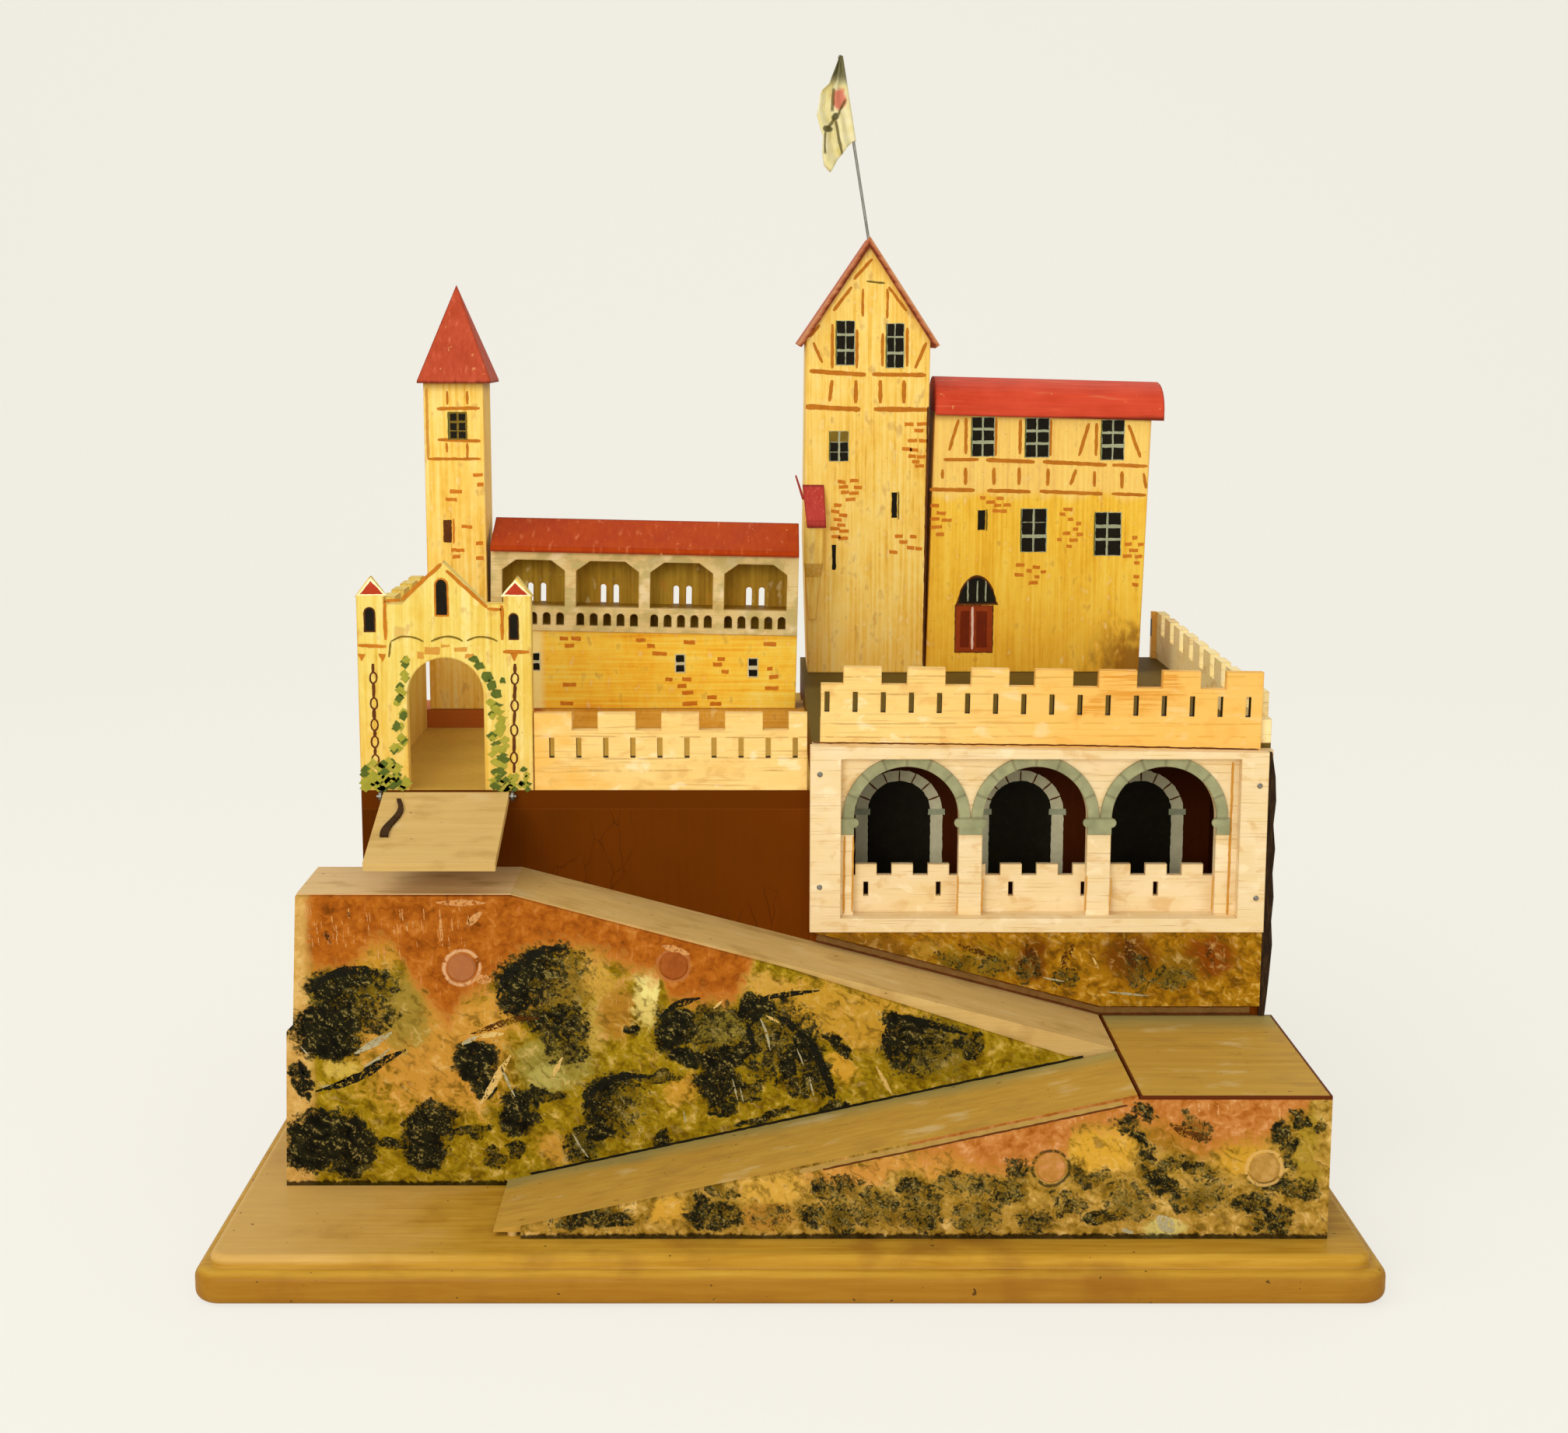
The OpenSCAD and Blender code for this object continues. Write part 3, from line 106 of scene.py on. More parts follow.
# %% A socket that can be added and multiplied
class Value:
    """A socket. Sums on it add Math nodes, or Vector Math nodes where it is a vector or colour."""

    def __init__(self, recipe, socket):
        self.recipe, self.socket = recipe, socket

    def total(self, operation, first, second):
        vector = self.socket.type in ("VECTOR", "RGBA")
        kind = "ShaderNodeVectorMath" if vector else "ShaderNodeMath"
        return self.recipe.node(kind, {"operation": operation}, {0: first, 1: second})

    def __add__(self, other): return self.total("ADD", self, other)
    def __radd__(self, other): return self.total("ADD", other, self)
    def __sub__(self, other): return self.total("SUBTRACT", self, other)
    def __rsub__(self, other): return self.total("SUBTRACT", other, self)
    def __mul__(self, other): return self.total("MULTIPLY", self, other)
    def __rmul__(self, other): return self.total("MULTIPLY", other, self)
    def __truediv__(self, other): return self.total("DIVIDE", self, other)
    def __rtruediv__(self, other): return self.total("DIVIDE", other, self)


def paint(code):
    """A colour written as on a paint chart, in the linear numbers that the shader wants."""
    parts = [int(code[i:i + 2], 16) / 255 for i in (1, 3, 5)]
    return tuple(v / 12.92 if v <= 0.04045 else ((v + 0.055) / 1.055) ** 2.4 for v in parts)


print("cream is", [round(v, 3) for v in paint("#F3DDA0")])

# %% [markdown]
# ## One method that adds any node
# The rest of a finish is always the same four steps: make a node, give it its settings, link or set
# its sockets, and pass one of its outputs on. `node` does that. The other methods are the few
# mixtures that every paint here uses: a soft step, a blend of two colours, a chart of colours read
# by a number, and a line given by its points.

# %% The usual mixtures
class Recipe:
    """A node tree. Each call adds a node, or one of the usual mixtures of a few."""

    def __init__(self, tree):
        self.tree = tree

    def node(self, kind, settings=None, sockets=None, out=0):
        made = self.tree.nodes.new(kind)
        for name, value in (settings or {}).items():
            if name == "stops":
                stops = made.color_ramp.elements
                while len(stops) > 1:
                    stops.remove(stops[-1])
                for i, (at, colour) in enumerate(value):
                    stop = stops[0] if i == 0 else stops.new(at)
                    stop.position, stop.color = at, (*colour, 1)
            else:
                setattr(made, name, value)
        for name, value in (sockets or {}).items():
            socket = made.inputs[name]
            if isinstance(value, Value):
                self.tree.links.new(value.socket, socket)
            elif socket.type == "VECTOR" and not hasattr(value, "__len__"):
                socket.default_value = (value, value, value)
            elif socket.type == "RGBA" and len(value) == 3:
                socket.default_value = (*value, 1)
            else:
                socket.default_value = value
        return Value(self, made.outputs[out])

    def split(self, vector):
        made = self.node("ShaderNodeSeparateXYZ", None, {0: vector}).socket.node
        return [Value(self, socket) for socket in made.outputs]

    def join(self, x, y, z):
        return self.node("ShaderNodeCombineXYZ", None, {0: x, 1: y, 2: z})

    def step(self, value, low, high):
        return self.node("ShaderNodeMapRange", {"interpolation_type": "SMOOTHSTEP"},
                         {"Value": value, "From Min": low, "From Max": high})

    def blend(self, share, first, second):
        """The first colour, and the second where the share is 1. Each may be a chart's code."""
        first, second = (paint(c) if isinstance(c, str) else c for c in (first, second))
        return self.node("ShaderNodeMix", {"data_type": "RGBA"}, {0: share, 6: first, 7: second}, 2)

    def chart(self, value, *codes):
        stops = [(i / max(1, len(codes) - 1), paint(code)) for i, code in enumerate(codes)]
        return self.node("ShaderNodeValToRGB", {"stops": stops}, {0: value})

    def least(self, first, second):
        return self.node("ShaderNodeMath", {"operation": "MINIMUM"}, {0: first, 1: second})

    def most(self, first, second):
        return self.node("ShaderNodeMath", {"operation": "MAXIMUM"}, {0: first, 1: second})

    def unsigned(self, value):
        return self.node("ShaderNodeMath", {"operation": "ABSOLUTE"}, {0: value})

    def length(self, vector):
        return self.node("ShaderNodeVectorMath", {"operation": "LENGTH"}, {0: vector}, "Value")

    def along(self, vector, way):
        return self.node("ShaderNodeVectorMath", {"operation": "DOT_PRODUCT"},
                         {0: vector, 1: way}, "Value")

    def drawn(self, value, points):
        """A line given by its points: straight between points of (place, height), read at a place."""
        first, last, top = points[0][0], points[-1][0], max(height for _, height in points)
        stops = [((at - first) / (last - first), (height / top,) * 3) for at, height in points]
        along = (value - first) / (last - first)
        grey = self.node("ShaderNodeValToRGB", {"stops": stops}, {0: along})
        return self.node("ShaderNodeMath", {"operation": "MULTIPLY"}, {0: grey, 1: top})


print("mixtures:", [m for m in vars(Recipe) if not m.startswith("_")])

# %% [markdown]
# A finish adds a material to such a tree, and the place on the object in millimetres, which every
# noise and mask reads. The place could come from a UV map, but these boards have none, and the
# object's own coordinates stay put when a house is lifted. The Bevel node gives a second normal,
# rounded over a width: where it turns away from the true one there is an edge, and paint rubs off.

# %% The finish
class Finish(Recipe):
    """A material in the making, with places measured in millimetres on the object."""

    def __init__(self, name):
        self.material = bpy.data.materials.new(name)
        self.material.use_nodes = True
        super().__init__(self.material.node_tree)
        self.shader = next(n for n in self.tree.nodes if n.type == "BSDF_PRINCIPLED")
        self.place = self.node("ShaderNodeTexCoord", out="Object") * 1000
        self.x, self.y, self.z = self.split(self.place)

    def noise(self, size, where=None, detail=3, twist=0.0, out="Fac"):
        where = (where or self.place) / size
        return self.node("ShaderNodeTexNoise", None, {"Vector": where, "Scale": 1,
                         "Detail": detail, "Distortion": twist}, out=out)

    def edges(self, width):
        round_off = self.node("ShaderNodeBevel", {"samples": 4}, {"Radius": width * MM})
        normal = self.node("ShaderNodeNewGeometry", out="Normal")
        return self.step(self.along(round_off, normal), 0.985, 0.8)

    def done(self, colour, rough=0.55, relief=None, height=0.1, gloss=0.15, metal=0.0, coat=0.0,
             cover=1.0):
        for name, value in (("Base Color", colour), ("Roughness", rough), ("Alpha", cover)):
            if isinstance(value, Value):
                self.tree.links.new(value.socket, self.shader.inputs[name])
            else:
                value = (*value, 1) if name == "Base Color" else value
                self.shader.inputs[name].default_value = value
        self.shader.inputs["Specular IOR Level"].default_value = gloss
        self.shader.inputs["Metallic"].default_value = metal
        self.shader.inputs["Coat Weight"].default_value = coat
        if relief is not None:
            bump = self.node("ShaderNodeBump", None, {"Height": relief, "Distance": height * MM,
                                                      "Strength": 1.0})
            self.tree.links.new(bump.socket, self.shader.inputs["Normal"])
        return self.material


def dress(material, *names):
    """Gives a finish to construction nodes, in every slot that they have."""
    for name in names:
        for slot in nodes[name].material_slots:
            slot.material = material


print("a finish also has:", [m for m in vars(Finish) if not m.startswith("_")])

# %% [markdown]
# ## Varnished base
# The base is a thick slab with a thinner board on it, both under old golden-brown varnish. An image
# of wood would show where it repeats on so large a board. Noise never repeats, and it is drawn out
# along X here, as the grain runs from side to side. Darker clouds, small knocks and a few pale chips
# at the rim are what tell old varnish from new.

# %% The base board's finish
def base_finish():
    f = Finish("golden_varnish")
    grain = f.noise((46, 3.2, 3.2), detail=5, twist=0.6)
    fine = f.noise((22, 0.9, 0.9), detail=3)
    cloud = f.noise(38, detail=4)
    colour = f.chart(grain * 0.75 + fine * 0.25, "#855712", "#B0801F", "#C69933", "#D7B046")
    colour = f.blend(f.step(cloud, 0.5, 0.72) * 0.55, colour, "#8C5A1E")
    # Painted highlight: the base's top is paler toward the left, where the light falls on it.
    pale_left = f.step(f.x + (cloud - 0.5) * 160, -120, -220) * f.step(f.z, 15, 18)
    colour = f.blend(pale_left * 0.6, colour, "#D8AE66")
    rim = f.edges(1.6)
    colour = f.blend(rim * 0.45, colour, "#D8B070")
    colour = f.blend(f.step(f.z, 14, 11.5) * 0.6, colour, "#8B540C")
    chip = f.step(f.noise(3.4, detail=2), 0.735, 0.75)
    colour = f.blend(chip * 0.8, colour, "#3A2610")
    pale = f.step(f.noise(7.5, detail=2), 0.74, 0.75) * rim
    colour = f.blend(pale, colour, "#EBD3A0")
    return f.done(colour, 0.42 + cloud * 0.2, grain + fine - chip * 2, 0.12, 0.08, coat=0.03)


dress(base_finish(), "base_board")
print("base varnished")

# %% [markdown]
# ## Rubbed boards
# Ramps, landings and drawbridge are thin boards with hardly any paint left, tan with a long grain.
# The lower ramp and the right landing have a greenish tinge toward their back edges, and the landing's
# front edge kept its dark red-brown paint. Chosen faces could have materials of their own, but the
# borders are soft, so both are masks on the place in space.

# %% The boards' finishes
def span(board, axis):
    """From where to where a board reaches along an axis, in millimetres."""
    low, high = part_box(board)
    return round(low[axis] / MM, 2), round(high[axis] / MM, 2)


GOLDEN = ("#89641C", "#B68A35", "#C59B40", "#D3AB51")
DUSTY = ("#9E7C3E", "#C6A25E", "#D4B06C", "#E0C488")


def board_finish(name, pots, tinge=None, rims=()):
    f = Finish(name)
    grain = f.noise((70, 4.2, 4.2), detail=5, twist=0.8)
    fine = f.noise((30, 0.8, 0.8), detail=3)
    stain = f.noise((26, 14, 26), detail=4)
    colour = f.chart(grain * 0.7 + fine * 0.3, *pots)
    colour = f.blend(f.step(stain, 0.52, 0.75) * 0.5, colour, "#A27A38")
    colour = f.blend(f.step(stain, 0.42, 0.25) * 0.45, colour, "#DDC592")
    if tinge:
        back = f.step(f.y + (stain - 0.5) * 14, tinge[0], tinge[1])
        colour = f.blend(back * 0.5, colour, "#7F8A5C")
    nick = f.step(f.noise((5, 2.2, 2.2), detail=2), 0.735, 0.75)
    colour = f.blend(nick * 0.7, colour, "#5A3A18")
    for place, inner, outer in rims:
        place = {"x": f.x, "y": f.y}[place] + (fine - 0.5) * 0.8
        colour = f.blend(f.step(place, inner, outer), colour, "#5A2606")
    return f.done(colour, 0.5 + fine * 0.15, grain + fine - nick * 2, 0.12, 0.06)


dress(board_finish("dusty_board", DUSTY), "upper_ramp", "ramp_bearers", "corner_battens",
      "drawbridge", "keep_ridge")
# The left landing takes a paler copy of the dusty board: partly its own tone, partly painted light on
# its top.
dress(board_finish("pale_board", ("#B08A50", "#D8B47A", "#E6C48C", "#F0D8A8")), "left_landing")
_, ramp_back = span("lower_ramp", 1)
dress(board_finish("lower_ramp_board", GOLDEN, (ramp_back - 18, ramp_back - 2)), "lower_ramp")
landing_left, landing_right = span("right_landing", 0)
landing_front, landing_back = span("right_landing", 1)
landing_rims = (("y", landing_front + 1, landing_front + 0.5),
                ("x", landing_left + 1.4, landing_left + 0.8),
                ("x", landing_right - 1.4, landing_right - 0.8),
                ("y", landing_back - 1.2, landing_back - 0.6))
dress(board_finish("right_landing_board", GOLDEN, (landing_back - 34, landing_back - 4),
                   landing_rims), "right_landing")
print("boards rubbed, the landing from", landing_left, "to", landing_right)

# %% [markdown]
# ## Red-brown walls
# The hill's walls are smooth boards in a deep red-brown, darker to the left, with fine cracks to the
# right. The room behind the arches is the same paint in darker tones. Cracks cut into the mesh
# would cost many faces and hardly be seen. A thin Voronoi line in the paint is enough, and it shows
# only where a large soft noise lets it.

# %% The walls' finishes
def wall_finish(name, dark, middle, light, cracks=0.4, front=None):
    f = Finish(name)
    cloud = f.noise(60, detail=4)
    brush = f.noise((2.2, 2.2, 34), detail=4)
    tone = cloud * 0.6 + brush * 0.25 + f.step(f.x, -200, 60) * 0.25
    colour = f.chart(tone, dark, middle, light)
    web = f.node("ShaderNodeTexVoronoi", {"feature": "DISTANCE_TO_EDGE"},
                 {"Vector": f.place / (9, 9, 22) + f.noise(12, out="Color") * 0.5, "Scale": 1})
    crack = f.step(web, 0.035, 0.0) * f.step(cloud, 0.5, 0.6) * cracks
    colour = f.blend(crack, colour, "#1E0C04")
    colour = f.blend(f.edges(0.8) * 0.5, colour, "#8E5020")
    if front:
        face, code = front
        colour = f.blend(f.step(f.y, face + 0.6, face + 0.2), colour, code)
    return f.done(colour, 0.55, brush - crack, 0.06, 0.02)


dress(wall_finish("red_brown_wall", "#401B00", "#602D00", "#733502"), "hill_front_wall",
      "hill_left_wall", "hill_right_wall", "hill_back_wall", "bastion_front_wall",
      "bastion_step_wall")
dress(wall_finish("courtyard_board", "#A07C28", "#CCA246", "#E0B85C", 0.2,
                  (span("left_terrace", 1)[0], "#602C00")), "left_terrace")
# The upper terrace's dark grey-brown is a tone read where it lies in shade behind the parapet: partly
# its paint, partly painted shade.
dress(wall_finish("terrace_paint", "#3A3218", "#5A4A20", "#7A622A", 0.2), "right_terrace")
dress(wall_finish("room_paint", "#1C0A00", "#341402", "#4E1F04", 0.2),
      "room_floor", "room_back", "room_cheeks")
print("walls painted")

# %% [markdown]
# ## Sponged rocks
# The rock faces are the liveliest painting on the toy. A smooth red-brown band runs under the ramp.
# Below it come washes of orange, gold and mustard, and on these dark bushes, dabbed on with a nearly
# dry sponge. An image would be the usual way, but it blurs close up. Here each wash and each bush is
# an ellipse in a list, read by a Mapping node, and noise makes its rim ragged.

# %% The noises that all paints of a rock share
class Rock(Finish):
    """A rock face in the making, seen from the front, or from the side for an end."""

    def __init__(self, name, ends):
        super().__init__(name)
        self.flat = self.join(self.y if ends else self.x, self.z, 0)
        self.lump = self.noise(8, self.flat, 4)
        self.dab = self.noise(3.4, self.flat, 4, 0.9)
        self.grit = self.noise(1.2, self.flat, 3, 0.5)
        self.mottle = (self.lump - 0.5) * 1.4 + (self.dab - 0.5) * 1.3 + 0.5
        bent = self.flat + (self.noise(13, self.flat, 3, out="Color") - 0.5) * (13, 13, 0)
        self.bent = bent + (self.noise(4, self.flat, 2, out="Color") - 0.5) * (4, 4, 0)
        slanting = self.node("ShaderNodeVectorRotate", {"rotation_type": "Z_AXIS"},
                             {"Vector": self.bent, "Angle": 0.7})
        self.dash = self.noise((8, 2.4, 1), slanting, 5)

    def spot(self, x, z, rx, rz, tilt):
        """The place measured from an ellipse's middle, where its rim is 1 away."""
        return self.node("ShaderNodeMapping", {"vector_type": "TEXTURE"}, {
            "Vector": self.bent, "Location": (x, z, 0), "Rotation": (0, 0, math.radians(tilt)),
            "Scale": (rx, rz, 1)})


print("a rock also has:", [m for m in vars(Rock) if not m.startswith("_")])

# %% [markdown]
# The ground and its washes come first, as the painter laid them. A wash could be blended in by its
# ellipse alone, but then its rim shows. Two noises are added to the depth inside the ellipse, so that
# it frays. Slanting dashes, dark and pale, stand for the marks of the brush.

# %% The ground and its washes
def rock_ground(f, ground, washes):
    colour = f.chart(f.mottle, *ground)
    for x, z, rx, rz, tilt, code in washes:
        depth = 1 - f.length(f.spot(x, z, rx, rz, tilt))
        near = depth + (f.lump - 0.5) * 1.1 + (f.dab - 0.5) * 1.3
        colour = f.blend(f.step(near, -0.2, 0.4) * 0.85, colour, code)
    colour = f.blend(f.step(f.mottle, 0.42, 0.1) * 0.45, colour, "#6A4A0C")
    colour = f.blend(f.step(f.mottle, 0.6, 0.95) * 0.4, colour, "#E0BC72")
    colour = f.blend(f.step(f.dash, 0.47, 0.33) * 0.55, colour, "#57400A")
    return f.blend(f.step(f.dash, 0.56, 0.72) * 0.3, colour, "#E0BE74")


# %% [markdown]
# The red-brown band has a rim that goes up and down between the bushes. It could be a mesh of its
# own, but the rim is soft. So its points are read as a line by a ramp node, what lies above the line
# is red, and pale drips run down in it.

# %% The red band
def red_band(f, colour, line, reds):
    above = f.z - f.drawn(f.x, line) + (f.lump - 0.5) * 14 + (f.dab - 0.5) * 12
    ragged = above + (f.dash - 0.5) * 14
    colour = f.blend(f.step(ragged, -9, 3), colour, "#B8742C")
    colour = f.blend(f.step(ragged, -2, 4), colour, f.chart(f.mottle, *reds))
    drip = f.step(f.noise((0.7, 12, 1), f.flat, 4), 0.6, 0.68) * f.step(f.lump, 0.44, 0.6)
    return f.blend(drip * 0.5, colour, "#D09058")


# %% [markdown]
# A bush is solid on its left and breaks up into specks to the right, as a dry sponge leaves it. One
# threshold on noise would give the same specks all over. So the depth inside each ellipse is cut by
# a slope, and the noise wins over it more easily where the slope is low. The largest value of all
# bushes is the cover, and near-black goes on where it is high.

# %% The bushes
def sponge(f, colour, bushes, pale_left, weight):
    depths, covers = [], []
    for x, z, rx, rz, tilt, full, lean in bushes:
        own = f.spot(x, z, rx * 1.1, rz * 1.1, tilt)
        depths.append((1 - f.length(own)) * 2.8)
        covers.append(f.least(depths[-1], f.along(own, (-lean, lean * 0.4, 0)) + full))
    within, dark = functools.reduce(f.most, depths), functools.reduce(f.most, covers)
    body = f.chart(f.mottle, "#332A06", "#5C4A12", "#84702C", "#B8A058")
    rim = within + (f.dab - 0.5) * 4 + (f.grit - 0.5) * 2
    colour = f.blend(f.step(rim, -0.2, 2) * 0.55, colour, body)
    # A pale strip down the left end: wear, with a painted highlight on it.
    if pale_left:
        bare = f.chart(f.mottle, "#A87C34", "#C89C50", "#DDB872")
        colour = f.blend(f.step(f.x + (f.dab - 0.5) * 7, *pale_left), colour, bare)
    cover = dark * weight + (f.dab - 0.5) * 3.4 + (f.grit - 0.5) * 2.2 + (f.dash - 0.5) * 1.4
    night = f.chart((f.dash - 0.5) * 1.6 + (f.lump - 0.5) + 0.5,
                    "#080703", "#14120A", "#222010", "#47401C")
    colour = f.blend(f.step(cover, -0.1, 0.8) * 0.7, colour, "#463808")
    colour = f.blend(f.step(cover, 0.25, 1.1), colour, night)
    fleck = f.step(f.grit + f.dash, 1.08, 1.26) * f.step(within, 0, 1)
    return f.blend(fleck * 0.55, colour, "#A8924C")


# %% [markdown]
# Rings show where paint has gathered round the plugs, and painted shade darkens the foot, where the
# panel stands on the base. With these, a rock face is ground, band, bushes, rings and foot, in this
# order.

# %% A rock face
_, base_top = span("base_board", 2)


def rock_finish(name, ground, washes, bushes, red_line=None, pale_left=None, rings=(), ends=False,
                reds=("#723A08", "#984F10", "#AE6218", "#C07E38"), weight=1.7):
    f = Rock(name, ends)
    colour = rock_ground(f, ground, washes)
    if red_line:
        colour = red_band(f, colour, red_line, reds)
    colour = sponge(f, colour, bushes, pale_left, weight)
    for x, z, radius, code in rings:
        away = f.length(f.flat - (x, z, 0)) + (f.lump - 0.5) * 2
        ring = f.step(away, radius + 1.1, radius + 0.3) * f.step(away, radius - 1.1, radius - 0.3)
        colour = f.blend(ring * f.step(f.dab, 0.36, 0.5) * 0.85, colour, code)
    # Painted shade: a near-black band along the foot, where the panel meets the base.
    foot = f.step(f.z + (f.dab - 0.5) * 4, base_top + 2.8, base_top + 1.6)
    colour = f.blend(foot * 0.9, colour, "#120C04")
    return f.done(colour, 0.55 + f.dab * 0.2, f.dab + f.grit * 0.5, 0.14, 0.02)


# %% [markdown]
# ## The upper ramp's rock
# This is the largest painting, under the ramp that climbs to the gate. Scattering ellipses by chance
# would be quick, but then no bush stands where this painter set it. So each wash and each bush has
# its own place. A wash is written as its middle, half width, half height, tilt and colour. A bush
# ends with how full it is and how much it leans instead.

# %% Paint the upper ramp's rock
MUSTARD = ("#594704", "#836807", "#A08414", "#BFA031")
LEFT_WASHES = [
    (-158, 84, 38, 34, 0, "#C58B35"), (-183, 128, 13, 9, -20, "#BD8728"),
    (-125, 103, 20, 9, 20, "#C68F35"), (-172, 101, 12, 19, 0, "#8F7A2D"),
    (-97, 114, 14, 14, 0, "#A07A28"), (-86, 118, 8, 14, 20, "#C6993D"),
    (-106, 77, 20, 13, 0, "#8E8237"), (-86, 94, 8, 12, 0, "#B5953F"),
    (-76, 100, 8, 14, 0, "#A87425"), (-105, 38, 9, 8, 0, "#C38F34"), (-92, 39, 9, 8, 0, "#565011"),
    (-32, 93, 13, 12, 0, "#877C32"), (-14, 113, 22, 7, -8, "#C8993F"),
    (28, 99, 40, 15, -14, "#BF8F2D"), (24, 76, 9, 6, -40, "#CE992F"),
    (-46, 65, 9, 7, 30, "#C69332"), (-201, 74, 7, 4, 0, "#C8AA49"), (62, 84, 20, 13, 0, "#766519"),
    (-63, 108, 8, 15, -8, "#DCC56F"), (-61, 112, 6, 8, 0, "#E7D884"),
    (-108, 72, 9, 7, 0, "#ACA051")]
LEFT_BUSHES = [
    (-194, 112, 21, 9, 4, 0.62, 0.45), (-205, 92, 17, 15, 0, 0.95, 0.3),
    (-186, 99, 12, 8, 0, 0.42, 0.1), (-213, 42, 14, 17, -35, 1.0, 0.1),
    (-198, 38, 13, 15, 0, 0.8, 0.1), (-218, 70, 5, 9, 30, 0.6, 0.1),
    (-162, 48, 13, 9, 32, 0.85, 0.3), (-163, 37, 10, 11, 0, 0.95, 0.2),
    (-178, 40, 9, 3, 0, 0.6, 0), (-142, 45, 12, 3, 8, 0.5, 0.1), (-108, 112, 23, 19, 0, 0.5, 0.75),
    (-101, 95, 14, 9, -10, 0.62, 0.1), (-140, 78, 11, 10, -8, 0.95, 0.25),
    (-136, 68, 5, 7, -20, 0.8, 0), (-120, 55, 11, 11, 0, 0.8, 0.25),
    (-110, 64, 9, 3.5, -12, 0.6, 0), (-122, 37, 5, 4, 0, 0.5, 0), (-133, 33, 5, 6, 0, 0.45, 0),
    (-78, 58, 15, 14, 0, 0.5, 0.55), (-84, 45, 7, 4, 10, 0.8, 0), (-60, 71, 10, 3, -4, 0.4, 0),
    (-93, 40, 8, 9, 0, 0.4, 0), (-98, 84, 9, 8, 0, 0.38, 0), (-50, 94, 10, 12, -20, 0.95, 0.35),
    (-46, 79, 9, 4, -12, 0.9, 0.1), (-34, 92, 16, 13, 0, 0.32, 0.2),
    (-14, 103, 9, 5, 28, 0.8, 0.1), (-5, 88, 18, 20, 0, 0.36, 0.1), (8, 83, 6, 9, 10, 0.8, 0),
    (-1, 77, 5, 7, 0, 0.8, 0), (13, 71, 6, 10, 25, 0.5, 0), (4, 66, 6, 5, 0, 0.55, 0),
    (-27, 80, 15, 5.5, 20, 0.8, 0.1), (-32, 68, 11, 9, 0, 0.8, 0.3), (-30, 57, 7, 5, 0, 0.55, 0),
    (22, 85.5, 8.5, 3, -40, 0.8, 0), (-20, 65, 9, 5, 0, 0.42, 0), (62, 84, 20, 14, -10, 0.45, 0.6),
    (52, 97, 10, 4, -14, 0.85, 0.1), (82, 85, 6, 6, 0, 0.5, 0), (-56, 42, 4, 7, -20, 0.6, 0),
    (21, 57, 7, 3, 12, 0.6, 0), (-10, 52, 13, 2, 12, 0.6, 0), (-70, 92, 4, 3, 0, 0.7, 0)]
LEFT_RED = [
    (-224, 124), (-208, 122), (-196, 121), (-186, 134), (-176, 134), (-168, 119), (-157, 104),
    (-152, 97), (-146, 108), (-132, 117), (-122, 126), (-112, 132), (-92, 133), (-76, 126),
    (-66, 122), (-56, 119), (-53, 109), (-40, 107), (-24, 108), (-18, 120), (-10, 150), (70, 150)]
LEFT_RINGS = [(-145.2, 121.3, 7.9, "#D8A878"), (-51, 122.2, 7.2, "#AC6A3A")]
dress(rock_finish("left_rock", MUSTARD, LEFT_WASHES, LEFT_BUSHES, LEFT_RED, (-211, -216), LEFT_RINGS),
      "left_rock_face")
print("bushes on the upper ramp's rock:", len(LEFT_BUSHES))

# %% [markdown]
# ## The lower ramp's rock
# The lower ramp's panel is paler, with smaller bushes and a lighter band. The same function paints
# it, with its own pots and lists, because the same hand did.

